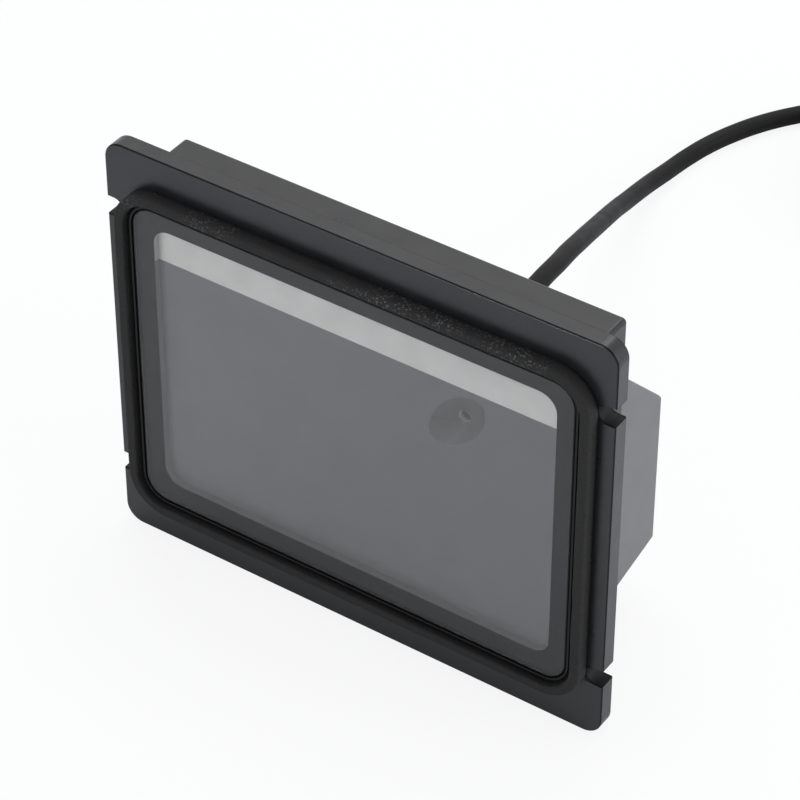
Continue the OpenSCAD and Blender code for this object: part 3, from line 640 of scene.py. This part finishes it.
@dataclass(frozen=True)
class ClearPane(Finish):
    """Polished glass, through which the lamps reach what lies behind.

    Attributes:
        ior: Its index of refraction.
        wave_mm: How far apart its faint waves lie.
        core: Half the size of the box that its clear face surrounds, or nothing.
        middle: The middle of that box.
        edge_r: The distances beyond the box between which its edge begins.
        edge: The look of the blackened edge.
    """

    ior: float = 1.5
    wave_mm: float = 25.0
    core: Optional[Point] = None
    middle: Point = ORIGIN
    edge_r: Span = (4.7, 4.8)
    edge: Patch = Patch("0a0a0b", 0.8, 0.5)

    def detail(self, tree: Tree, shader: Node) -> Socket:
        """Makes the glass clear to lamps, and faintly uneven.

        Args:
            tree: The material's nodes.
            shader: Its Principled node.

        Returns:
            The socket that the surface shows.
        """
        shader.inputs["Transmission Weight"].default_value = 1.0
        shader.inputs["IOR"].default_value = self.ior
        rub = ranged(tree, grain(tree, self.wave_mm, detail=3), SWING, 0.0, self.roughness)
        tree.links.new(rub, shader.inputs["Roughness"])
        path = add_node(tree, "LightPath").outputs
        passed = combined(tree, "MAXIMUM", path["Is Shadow Ray"], path["Is Diffuse Ray"])
        clear = add_node(tree, "BsdfTransparent").outputs["BSDF"]
        both = mixed(tree, passed, shader.outputs["BSDF"], clear)
        if self.core is None:
            return both
        out = beyond(tree, self.core, self.middle)
        return mixed(tree, ranged_mm(tree, out, self.edge_r, 0, 1), both, self.edge.surface(tree))


@dataclass(frozen=True)
class Jacket(Moulded):
    """Extruded cord jacket, whose soft PVC throws little light back.

    Attributes:
        sheen: Its specular level.
        rub: How far its roughness goes below and above its mean.
    """

    grain_mm: float = 0.5
    depth_mm: float = 0.008
    flow_mm: float = 9.0
    sheen: float = 0.19
    rub: Span = (-0.06, 0.08)

    def detail(self, tree: Tree, shader: Node) -> Socket:
        """Adds the dull skin of extruded PVC and a few duller patches.

        Args:
            tree: The material's nodes.
            shader: Its Principled node.

        Returns:
            The socket that the surface shows.
        """
        shader.inputs["Specular IOR Level"].default_value = self.sheen
        dull = grain(tree, self.flow_mm, detail=3)
        tinted(tree, shader, ranged(tree, dull, self.contrast, 0, 1), self.colour, self.pale)
        low, high = (self.roughness + change for change in self.rub)
        tree.links.new(ranged(tree, dull, SWING, low, high), shader.inputs["Roughness"])
        roughened(tree, shader, grain(tree, self.grain_mm), self.depth_mm)
        return shader.outputs["BSDF"]


@dataclass(frozen=True)
class Plated(Finish):
    """Plated metal, with the fine lines that the tool left.

    Attributes:
        line_mm: How far apart the lines lie.
        stretch: How many times finer they are along each axis.
        rub: The least and the greatest share of its mean roughness.
        depth_mm: How deep the lines are.
    """

    line_mm: float = 0.15
    stretch: Point = (1, 1, 1)
    rub: Span = (0.7, 1.4)
    depth_mm: float = 0.004

    def detail(self, tree: Tree, shader: Node) -> Socket:
        """Adds fine lines and a cloudy shine.

        Args:
            tree: The material's nodes.
            shader: Its Principled node.

        Returns:
            The socket that the surface shows.
        """
        lines = grain(tree, self.line_mm, 3, self.stretch)
        low, high = (self.roughness * share for share in self.rub)
        tree.links.new(ranged(tree, lines, SWING, low, high), shader.inputs["Roughness"])
        roughened(tree, shader, lines, self.depth_mm)
        return shader.outputs["BSDF"]


@dataclass(frozen=True)
class BoardMask(Finish):
    """Solder mask over the copper tracks of a circuit board.

    Attributes:
        track: The colour of the mask where copper lies under it.
        pitch_mm: How far apart the tracks lie.
        uneven: How unevenly their cells lie.
        edge: The distances from a cell's middle between which a track begins.
        depth_mm: How thick the tracks are.
    """

    track: str = ""
    pitch_mm: float = 1.27
    uneven: float = 0.6
    edge: Span = (0.42, 0.46)
    depth_mm: float = 0.03

    def detail(self, tree: Tree, shader: Node) -> Socket:
        """Adds tracks as the edges of a grid of cells, under a glossy mask.

        Args:
            tree: The material's nodes.
            shader: Its Principled node.

        Returns:
            The socket that the surface shows.
        """
        cells = add_node(
            tree,
            "TexVoronoi",
            {
                "distance": "MANHATTAN",
                "Scale": per_metre(self.pitch_mm * 2),
                "Randomness": self.uneven,
            },
            {"Vector": place(tree)},
        )
        copper = ranged(tree, cells.outputs["Distance"], self.edge, 0, 1)
        tinted(tree, shader, copper, self.colour, self.track)
        roughened(tree, shader, copper, self.depth_mm)
        return shader.outputs["BSDF"]


@dataclass(frozen=True)
class Frosted(Moulded):
    """Milky acrylic that spreads the light of the diodes behind it.

    Attributes:
        milk: The share of light that spreads inside it.
        milk_mm: How far that light goes.
    """

    grain_mm: float = 0.3
    depth_mm: float = 0.004
    polish: float = 0.0
    flow_mm: float = 7.0
    contrast: Span = SWING
    milk: float = 0.25
    milk_mm: float = 0.8

    def detail(self, tree: Tree, shader: Node) -> Socket:
        """Adds a shallow milky depth and a faint cloud.

        Args:
            tree: The material's nodes.
            shader: Its Principled node.

        Returns:
            The socket that the surface shows.
        """
        shader.inputs["Subsurface Weight"].default_value = self.milk
        shader.inputs["Subsurface Scale"].default_value = self.milk_mm * MM
        return super().detail(tree, shader)


class Kind(Enum):
    """The finishes of the scanner, each named for the real one."""

    # A satin black shell: the spark grain breaks its gloss; painted shade darkens its slots, rim
    # and edge lines, and painted light greys its opening's walls.
    CASE = CaseShell("ABS_moulded_satin", "151619", 0.3, pale="18191c", polish=0.04)
    # A cover, even and flatter than the case, whose mid-grey is partly painted light: it is made
    # paler to stand for the strong light on its right side.
    COVER = Moulded("ABS_moulded_cover", "626263", 0.4, pale="656566", polish=0.02)
    # Dull black that swallows light, with open cells that catch dust.
    FOAM = ClosedCellFoam("EPDM_foam_die_cut", "1e1e1e", 0.92, speck="58585a")
    # A clear sheet, seen only by what it mirrors, with a ground and blackened edge.
    GLASS = ClearPane(
        "Float_glass_polished", "ffffff", 0.0, core=(45.1, 50, 31.4), middle=(0, 0, 0.4)
    )
    # Dense black ink behind the glass, without relief.
    INK = Moulded("Screen_printed_ink", "16181d", 0.5, pale="17191e", depth_mm=0.0)
    # Dark grey panel, smooth and a little glossy, with painted shade and a painted glint in its
    # port's dish.
    PANEL = PortedPanel("ABS_moulded_panel", "26282d", 0.5, pale="27292e", depth_mm=0.0)
    # A pale bar with a milky depth, which hides the diodes.
    DIFFUSER = Frosted("Acrylic_frosted", "a6a6a4", 0.45, pale="b2b2b0")
    # Bright zinc with a cloudy shine.
    SCREW = Plated("Steel_zinc_plated", "b9bcc0", 0.32, metallic=1.0)
    # White mask on which the tracks only just show.
    WHITE_BOARD = BoardMask("Board_white_mask", "d9dbd6", 0.35, track="e6e8e2")
    # Deep green mask with paler tracks under its gloss.
    GREEN_BOARD = BoardMask("Board_green_mask", "10492c", 0.3, track="1a6b41")
    # Yellow phosphor in glossy silicone.
    LED = Moulded("Silicone_phosphor", "e8d77a", 0.3, pale="efe08c", depth_mm=0.002)
    # Black metal with a fine, dry grain.
    BARREL = Moulded("Aluminium_anodised_black", "17181a", 0.4, pale="1b1c1e", grain_mm=0.1)
    # Clear glass with the cool tint of its coating.
    LENS = ClearPane("Lens_coated", "dfe6ff", 0.01, ior=1.52)
    # Blue-grey silicon, polished like a mirror.
    DIE = Moulded("Silicon_die", "2b3440", 0.12, pale="39465a", grain_mm=0.5, depth_mm=0.001)
    # Dull black resin with a fine grain.
    CHIP = Moulded("Epoxy_moulded_chip", "1d1e1f", 0.55, pale="232425", grain_mm=0.15)
    # Cream plastic with a soft shine.
    SOCKET_CREAM = Moulded("Nylon_moulded_cream", "d2c9ac", 0.5, pale="dad2b8")
    # Off-white plastic with a soft shine.
    SOCKET_WHITE = Moulded("Nylon_moulded_white", "dcd9cf", 0.5, pale="e4e1d8")
    # Glossy amber film over paler copper tracks.
    FLEX = BoardMask("Polyimide_film", "b06a14", 0.28, track="c98730", pitch_mm=0.5)
    # Soft black rubber with a coarse grain.
    RELIEF = Moulded("PVC_moulded_relief", "1e1e1f", 0.55, pale="222223", grain_mm=0.5)
    # Nearly black and dull, with duller patches where it was handled.
    JACKET = Jacket("PVC_extruded_jacket", "0e0e0f", 0.6, pale="111112")
    # Smooth black nylon with a waxy shine.
    TIE = Moulded("Nylon_moulded_tie", "1a1a1b", 0.4, pale="1e1e1f", depth_mm=0.002)
    # Soft black grip with a plain grain.
    PLUG = Moulded("PVC_moulded_plug", "1e1e20", 0.5, pale="232325", grain_mm=0.4)
    # Warm bright nickel with lines drawn along it.
    NICKEL = Plated("Steel_nickel_plated", "c9c6c0", 0.24, metallic=1.0, stretch=(1, 12, 1))
    # Plain white plastic, nearly smooth.
    TONGUE = Moulded("PBT_moulded_white", "e0dfda", 0.45, pale="e8e7e2", depth_mm=0.002)
    # Yellow gold with a bright, soft shine.
    GOLD = Plated("Gold_plated_contact", "e6bd62", 0.2, metallic=1.0)


Parts = Tuple[Tuple[str, Kind, str], ...]


# Camera and studio


@dataclass
class ProductCamera:
    """The camera at the photograph's place and angle.

    Attributes:
        location: Where it stands, in metres.
        turn: How far it looks to the left of the scanner's depth, in degrees.
        tilt: How far it looks down.
        roll: How far it leans.
        focal_mm: The focal length of its lens.
        sensor_mm: The width of its sensor.
        nearest: The distance from which it sees, in metres.
    """

    location: Point = (0.299112, -0.423451, 0.438359)
    turn: float = 34.251
    tilt: float = 39.56
    roll: float = 0.049
    focal_mm: float = 159.418
    sensor_mm: float = 36.0
    nearest: float = 0.01

    def build(self) -> None:
        """Places the camera, and makes it the scene's."""
        yaw, pitch, roll = (math.radians(a) for a in (self.turn, self.tilt, self.roll))
        across = math.cos(pitch)
        ahead = Vector((-math.sin(yaw) * across, math.cos(yaw) * across, -math.sin(pitch)))
        level = Vector((math.cos(yaw), math.sin(yaw), 0))
        above = level.cross(ahead)
        right = math.cos(roll) * level + math.sin(roll) * above
        up = math.cos(roll) * above - math.sin(roll) * level
        data = bpy.data.cameras.new("camera")
        data.lens = self.focal_mm
        data.sensor_width = self.sensor_mm
        data.clip_start = self.nearest
        camera = new_object("camera", data)
        turned = Matrix((right, up, -ahead)).transposed().to_4x4()
        camera.matrix_world = Matrix.Translation(self.location) @ turned
        bpy.context.scene.camera = camera
        LOG.info("camera at %s", self.location)


@dataclass
class Lamp:
    """One square soft lamp.

    Attributes:
        name: Its name.
        spot: Where it stands, in metres.
        aim: What it points at.
        side: The length of its side, in metres.
        power: Its power in watts.
    """

    name: str
    spot: Point
    aim: Point
    side: float
    power: float

    def build(self) -> None:
        """Places the lamp."""
        data = bpy.data.lights.new(self.name, "AREA")
        data.size = self.side
        data.energy = self.power
        lamp = new_object(self.name, data)
        lamp.location = self.spot
        way = Vector(self.aim) - Vector(self.spot)
        lamp.rotation_euler = way.to_track_quat("-Z", "Y").to_euler()
        LOG.info("%s at %s", self.name, self.spot)


@dataclass
class Studio:
    """A pale floor, a white surround and soft lamps.

    Attributes:
        lamps: One for the tops, one for the right sides, one for the dish of the port.
        floor_half: Half the floor's side, in metres.
        floor_z: Its height.
        floor_colour: The paper's colour.
        shadow_share: How much of the paper's own tone the camera sees.
        mirrored_share: How much of it glossy surfaces mirror.
        ambient: The surround's level for dull surfaces.
        ceiling: Its level for glossy surfaces away from the backdrop.
        backdrop_way: Where the bright backdrop stands, seen from the scanner.
        backdrop_span: The cosines of the angle from there between which it begins.
    """

    lamps: Tuple[Lamp, ...] = (
        Lamp("lamp_above", (-0.25, 0.42, 1.25), (0, 0.02, 0), 1.1, 11.5),
        Lamp("lamp_right", (1.25, 0.3, 0.45), (0, 0.02, 0), 0.8, 10.0),
        Lamp("lamp_front", (-0.42, -1.3, 0.06), ORIGIN, 0.15, 4.0),
    )
    floor_half: float = 2.5
    floor_z: float = -0.0477
    floor_colour: str = "e1e4ea"
    shadow_share: float = 0.12
    mirrored_share: float = 0.8
    ambient: float = 0.55
    ceiling: float = 0.25
    backdrop_way: Point = (-0.25, 0.96, 0.1)
    backdrop_span: Span = (-0.1, 0.45)

    def build(self) -> None:
        """Builds the floor, the surround and the lamps."""
        bpy.context.scene.view_settings.view_transform = "Standard"
        self.build_floor()
        self.build_world()
        for lamp in self.lamps:
            lamp.build()

    def looked_at(self, tree: Tree) -> Socket:
        """A socket that is 1 for rays of the camera, straight or through glass."""
        path = add_node(tree, "LightPath").outputs
        return combined(tree, "MAXIMUM", path["Is Camera Ray"], path["Is Transmission Ray"])

    def mirrored(self, tree: Tree) -> Socket:
        """A socket that is 1 for rays that a glossy surface throws back."""
        return add_node(tree, "LightPath").outputs["Is Glossy Ray"]

    def build_floor(self) -> None:
        """A level floor that shows white and keeps a soft shadow."""
        mesh = bmesh.new()
        bmesh.ops.create_grid(mesh, x_segments=1, y_segments=1, size=self.floor_half)
        bmesh.ops.translate(mesh, vec=(0, 0, self.floor_z), verts=mesh.verts)
        floor = new_piece("floor", mesh)
        material = bpy.data.materials.new("Paper_white_sweep")
        material.use_nodes = True
        tree = material.node_tree
        tree.nodes.clear()
        paper = add_node(tree, "BsdfDiffuse", {"Color": linear(self.floor_colour)})
        white = add_node(tree, "Emission", {"Strength": 1.0})
        share = combined(
            tree,
            "MAXIMUM",
            ranged(tree, self.looked_at(tree), (0, 1), 0, 1 - self.shadow_share),
            ranged(tree, self.mirrored(tree), (0, 1), 0, 1 - self.mirrored_share),
        )
        both = mixed(tree, share, paper.outputs[0], white.outputs[0])
        add_node(tree, "OutputMaterial", None, {"Surface": both})
        floor.data.materials.append(material)
        LOG.info("floor at %.4f m", self.floor_z)

    def build_world(self) -> None:
        """A surround that shows white, and lights the rest at a plain level."""
        world = bpy.data.worlds.new("surround")
        world.use_nodes = True
        tree = world.node_tree
        tree.nodes.clear()
        way = add_node(tree, "TexCoord").outputs["Generated"]
        facing = add_node(tree, "VectorMath", {"operation": "DOT_PRODUCT"}, {0: way})
        facing.inputs[1].default_value = self.backdrop_way
        towards = facing.outputs["Value"]
        backdrop = ranged(tree, towards, self.backdrop_span, self.ceiling, 1)
        around = add_node(
            tree,
            "MapRange",
            {"To Min": self.ambient},
            {"Value": self.mirrored(tree), "To Max": backdrop},
        ).outputs["Result"]
        level = combined(tree, "MAXIMUM", around, self.looked_at(tree))
        white = {"Color": linear("ffffff")}
        glow = add_node(tree, "Background", white, {"Strength": level})
        add_node(tree, "OutputWorld", None, {"Surface": glow.outputs[0]})
        bpy.context.scene.world = world


# The lead


@dataclass
class Coil:
    """The lead's spare length, wound in two layers beside the scanner.

    A bottom turn moves in by one pitch late in its round, the last one climbs
    halfway through, and a top turn moves out before it meets the climb.

    Attributes:
        centre: Its middle in x and y, in millimetres as all lengths here.
        outer_r: The radius of its outermost turn.
        pitch: The distance from turn to turn.
        columns: How many turns lie side by side.
        bottom_z: The height of the bottom layer.
        turns: How many turns there are.
        start_deg: The direction from the middle in which they start.
        points_per_turn: How many points draw one.
        inward: The share of a bottom round at which it moves in, and for how long.
        outward: The share of a top round at which it moves out, and for how long.
        climb: How many turns before the top layer the climb starts, and for how long.
    """

    centre: Span = (33.55, 197.45)
    outer_r: float = 31.7
    pitch: float = 4.3
    columns: int = 5
    bottom_z: float = -44.7
    turns: float = 28 / 3
    start_deg: float = 120.0
    points_per_turn: int = 18
    inward: Span = (0.8, 0.2)
    outward: Span = (0.34, 0.18)
    climb: Span = (0.5, 0.25)

    def radius(self, turn: float) -> float:
        """How far the lead lies from the centre.

        Args:
            turn: The number of turns so far.

        Returns:
            The distance from the coil's middle to the lead's middle.
        """
        if turn < self.columns:
            whole = min(int(turn), self.columns - 1)
            late = smooth_step((turn - whole - self.inward[0]) / self.inward[1])
            step = min(whole + late, self.columns - 1)
        else:
            whole = int(turn) - self.columns
            moved = smooth_step((turn - int(turn) - self.outward[0]) / self.outward[1])
            step = self.columns - 1 - whole - moved
        return self.outer_r - self.pitch * max(step, 0)

    def height(self, turn: float) -> float:
        """The height of the lead's middle after a number of turns."""
        risen = smooth_step((turn - self.columns + self.climb[0]) / self.climb[1])
        return self.bottom_z + self.pitch * risen

    def points(self) -> List[Point]:
        """The lead's middle round the coil, from its way in to its way out."""
        count = round(self.turns * self.points_per_turn)
        found = []
        for i in range(count + 1):
            turn = self.turns * i / count
            angle = math.radians(self.start_deg - 360 * turn)
            r = self.radius(turn)
            x = self.centre[0] + r * math.cos(angle)
            y = self.centre[1] + r * math.sin(angle)
            found.append((x, y, self.height(turn)))
        return found


@dataclass
class Lead:
    """The USB lead, from the strain relief through the coil to its plug.

    Attributes:
        diameter: Its thickness, in millimetres as all lengths here.
        length_mm: Its length along the middle, which is not used.
        tip: The strain relief's tip, where it comes out.
        run: The route to the coil from there, which is the one of the part's source.
        coil: The coil.
        tail: Distance from the coil, and height, on the way to the plug.
        plug_pieces: The pieces at the plug end, which are not used.
        curve_steps: How many steps draw the curve from point to point.
        round_steps: How many steps draw a quarter of its round.
    """

    diameter: float = 4.2
    length_mm: float = 1605.0
    tip: Point = (0.0, 58.3, -4.0)
    run: Tuple[Point, ...] = (
        (0, 0, 0), (0, 4, 0), (-0.3, 8, -0.3), (-0.9, 12, -0.9), (-2, 18, -2.4),
        (-4.1, 26, -5.1), (-6.4, 34, -8.5), (-9.1, 42, -12.5), (-12, 50, -16.9),
        (-15, 58, -21.4), (-18, 66, -25.9), (-20.7, 74, -30.1), (-23, 82, -34),
        (-24.9, 90, -37.3), (-26, 98, -39.7), (-26.1, 106, -41.2), (-25.4, 113.5, -41.6),
        (-23.8, 121, -41.6), (-21.2, 128.6, -41.6), (-17.5, 136.3, -41.6),
        (-12.6, 143.4, -41.5), (-7, 149.8, -41.3), (-0.6, 155.4, -41), (6.5, 160.1, -40.8),
        (12.1, 163.4, -40.7),
    )
    coil: Coil = field(default_factory=Coil)
    tail: Tuple[Span, ...] = ((7, -40.64), (14, -41.8), (21, -43.3), (27, -43.9), (32, -43.9))
    plug_pieces: Tuple[str, ...] = (
        "coil_tie", "usb_plug_body", "usb_shell", "usb_tongue", "usb_contacts",
    )
    curve_steps: int = 6
    round_steps: int = 5

    def points(self) -> List[Point]:
        """The lead's middle from end to end, in millimetres."""
        start = Vector(self.tip)
        found = [tuple(start + Vector(p)) for p in self.run]
        found += self.coil.points()
        out = found[-1]
        found += [(out[0], out[1] - gone, z) for gone, z in self.tail]
        return found

    def build(self) -> bpy.types.Object:
        """Returns:
            The lead.
        """
        data = bpy.data.curves.new("lead", "CURVE")
        data.dimensions = "3D"
        data.resolution_u = self.curve_steps
        data.bevel_depth = self.diameter / 2 * MM
        data.bevel_resolution = self.round_steps
        data.use_fill_caps = True
        points = self.points()
        line = data.splines.new("BEZIER")
        line.bezier_points.add(len(points) - 1)
        for knot, p in zip(line.bezier_points, points):
            knot.co = Vector(p) * MM
            knot.handle_left_type = "AUTO"
            knot.handle_right_type = "AUTO"
        lead = new_object("lead", data)
        data.materials.append(None)
        Kind.JACKET.value.dress(lead, "lead_jacket")
        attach(lead, BODY)
        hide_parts("lead_run", "lead_coil", "lead_tail")
        LOG.info("lead of %d points", len(points))
        return lead


# The scanner's own pieces


@dataclass
class FoamGasket:
    """The die-cut foam ring that seals the flange against its panel.

    Attributes:
        inner: The width and height of the hole in it, in millimetres as all lengths here.
        inner_r: The radius of the hole's corners.
        width: The width of the ring.
        depth: Its thickness.
        centre: Its middle in x and z.
        edge_r: The radius of its front edges.
        edge_steps: How many steps draw one.
        side_cuts: How many times a side of its section is cut.
        corner_steps: How many steps draw a corner of the ring.
        side_steps: How many steps draw a side of it.
        wave_mm: How far the foam wanders.
        waves: How far apart its long and its short waves lie.
        short_share: How high the short ones are against the long ones.
        free_mm: How far from the flange the foam wanders in full.
        weld_mm: The distance below which two points become one.
    """

    inner: Span = (103.3, 75.5)
    inner_r: float = 6.55
    width: float = 2.25
    depth: float = 2.9
    centre: Span = (-0.15, 0.05)
    edge_r: float = 0.45
    edge_steps: int = 5
    side_cuts: int = 3
    corner_steps: int = 24
    side_steps: int = 60
    wave_mm: float = 0.07
    waves: Span = (7.0, 2.5)
    short_share: float = 0.5
    free_mm: float = 1.0
    weld_mm: float = 0.01

    def section(self, mesh: Mesh) -> List[Edge]:
        """Draws the ring's cross-section at the top of its right side.

        Args:
            mesh: The mesh to draw in.

        Returns:
            The section's closed line.
        """
        half = self.inner[0] / 2
        bmesh.ops.create_circle(mesh, cap_ends=False, segments=4, radius=1)
        outline = (
            (half, -self.depth),
            (half + self.width, -self.depth),
            (half + self.width, 0.0),
            (half, 0.0),
        )
        for vert, (x, y) in zip(mesh.verts, outline):
            vert.co = (x, y, self.inner[1] / 2 - self.inner_r)
        front = [v for v in mesh.verts if v.co.y < -self.depth / 2]
        bmesh.ops.bevel(
            mesh,
            geom=front,
            offset=self.edge_r,
            offset_type="OFFSET",
            affect="VERTICES",
            segments=self.edge_steps,
            profile=0.5,
            material=-1,
        )
        bmesh.ops.subdivide_edges(
            mesh,
            edges=[e for e in mesh.edges if e.calc_length() > self.edge_r],
            cuts=self.side_cuts,
        )
        return list(mesh.edges)

    def sweep(self, mesh: Mesh) -> None:
        """Sweeps the section round the ring, a corner and a side at a time.

        Args:
            mesh: The mesh to draw in.
        """
        line = self.section(mesh)
        half_w = self.inner[0] / 2 - self.inner_r
        half_h = self.inner[1] / 2 - self.inner_r
        centres = ((half_w, half_h), (-half_w, half_h), (-half_w, -half_h), (half_w, -half_h))
        runs = ((-2 * half_w, 0), (0, -2 * half_h), (2 * half_w, 0), (0, 2 * half_h))
        for (x, z), (run_x, run_z) in zip(centres, runs):
            turned = bmesh.ops.spin(
                mesh,
                geom=line,
                cent=(x, 0, z),
                axis=(0, -1, 0),
                angle=math.pi / 2,
                steps=self.corner_steps,
                use_duplicate=False,
            )
            line = [e for e in turned["geom_last"] if isinstance(e, Edge)]
            step = Vector((run_x, 0, run_z)) / self.side_steps
            for _ in range(self.side_steps):
                grown = bmesh.ops.extrude_edge_only(mesh, edges=line)["geom"]
                line = [e for e in grown if isinstance(e, Edge)]
                line = [e for e in line if not e.link_faces or len(e.link_faces) == 1]
                tips = list({v for e in line for v in e.verts})
                bmesh.ops.translate(mesh, vec=step, verts=tips)
        bmesh.ops.remove_doubles(mesh, verts=mesh.verts, dist=self.weld_mm)

    def wander(self, mesh: Mesh) -> None:
        """Lets the foam wander a little where the flange doesn't hold it.

        Args:
            mesh: The ring's mesh.
        """
        far, near = self.waves
        for vert in mesh.verts:
            free = smooth_step(-vert.co.y / self.free_mm)
            short = self.short_share * noise.noise_vector(vert.co / near)
            push = noise.noise_vector(vert.co / far) + short
            vert.co += Vector((push.x, abs(push.y), push.z)) * self.wave_mm * free

    def build(self) -> bpy.types.Object:
        """Builds the ring in place of the CAD's.

        Returns:
            The ring.
        """
        mesh = bmesh.new()
        self.sweep(mesh)
        self.wander(mesh)
        shift = (self.centre[0], 0, self.centre[1])
        bmesh.ops.translate(mesh, vec=shift, verts=mesh.verts)
        bmesh.ops.scale(mesh, vec=(MM, MM, MM), verts=mesh.verts)
        gasket = new_piece("foam_ring", mesh)
        Kind.FOAM.value.dress(gasket, "gasket_foam")
        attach(gasket, BODY)
        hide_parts("foam_gasket")
        LOG.info("foam ring of %d faces", len(gasket.data.polygons))
        return gasket


@dataclass
class Assembly:
    """A group of CAD nodes that keep their own shape.

    Attributes:
        parts: Each node's name, finish and slot of the record.
    """

    parts: Parts = ()

    def build(self) -> None:
        """Dresses the nodes."""
        for name, kind, slot in self.parts:
            kind.value.dress(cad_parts[name], slot)
            LOG.info("dressed %s in %s", name, kind.value.name)


@dataclass
class Housing(Assembly):
    """The front case, the rear cover and what holds them."""

    parts: Parts = (
        ("front_case", Kind.CASE, "case_plastic"),
        ("rear_cover", Kind.COVER, "cover_plastic"),
        ("cover_screws", Kind.SCREW, "steel_screw"),
        ("strain_relief", Kind.RELIEF, "relief_rubber"),
    )


@dataclass
class Window(Assembly):
    """The front glass, its black frame and what shows behind it."""

    parts: Parts = (
        ("front_glass", Kind.GLASS, "window_glass"),
        ("glass_tape", Kind.INK, "black_tape"),
        ("inner_panel", Kind.PANEL, "panel_plastic"),
        ("panel_screws", Kind.SCREW, "steel_screw"),
        ("light_diffuser", Kind.DIFFUSER, "diffuser"),
    )


@dataclass
class LightBar(Assembly):
    """The board of diodes behind the white bar."""

    parts: Parts = (
        ("light_board", Kind.WHITE_BOARD, "white_board"),
        ("light_leds", Kind.LED, "led_body"),
        ("light_board_screws", Kind.SCREW, "steel_screw"),
    )


@dataclass
class CameraModule(Assembly):
    """The camera that reads the code, from its lens to its board."""

    parts: Parts = (
        ("lens_barrel", Kind.BARREL, "barrel_black"),
        ("front_lens", Kind.LENS, "lens_glass"),
        ("lens_holder", Kind.BARREL, "barrel_black"),
        ("image_sensor", Kind.DIE, "sensor_die"),
        ("camera_board", Kind.GREEN_BOARD, "green_board"),
        ("camera_screws", Kind.SCREW, "steel_screw"),
    )


@dataclass
class Electronics(Assembly):
    """The main board and what is soldered and plugged to it."""

    parts: Parts = (
        ("main_board", Kind.GREEN_BOARD, "green_board"),
        ("processor", Kind.CHIP, "chip_black"),
        ("memory_chip", Kind.CHIP, "chip_black"),
        ("flex_sockets", Kind.SOCKET_CREAM, "socket_cream"),
        ("camera_flex", Kind.FLEX, "flex_amber"),
        ("light_flex", Kind.FLEX, "flex_amber"),
        ("buzzer", Kind.CHIP, "chip_black"),
        ("board_screws", Kind.SCREW, "steel_screw"),
        ("lead_socket", Kind.SOCKET_WHITE, "socket_white"),
        ("lead_plug", Kind.SOCKET_WHITE, "socket_white"),
        ("inner_lead", Kind.JACKET, "lead_jacket"),
    )


@dataclass
class UsbPlug(Assembly):
    """The plug at the lead's far end, and the tie round the coil."""

    parts: Parts = (
        ("coil_tie", Kind.TIE, "tie_plastic"),
        ("usb_plug_body", Kind.PLUG, "plug_plastic"),
        ("usb_shell", Kind.NICKEL, "plug_steel"),
        ("usb_tongue", Kind.TONGUE, "tongue_plastic"),
        ("usb_contacts", Kind.GOLD, "contact_gold"),
    )


def main() -> None:
    logging.basicConfig(level=logging.INFO, format="%(name)s: %(message)s")
    ProductCamera().build()
    Lead().build()
    FoamGasket().build()
    for assembly in (Housing, Window, LightBar, CameraModule, Electronics, UsbPlug):
        assembly().build()
    Studio().build()


if __name__ == "__main__":
    main()
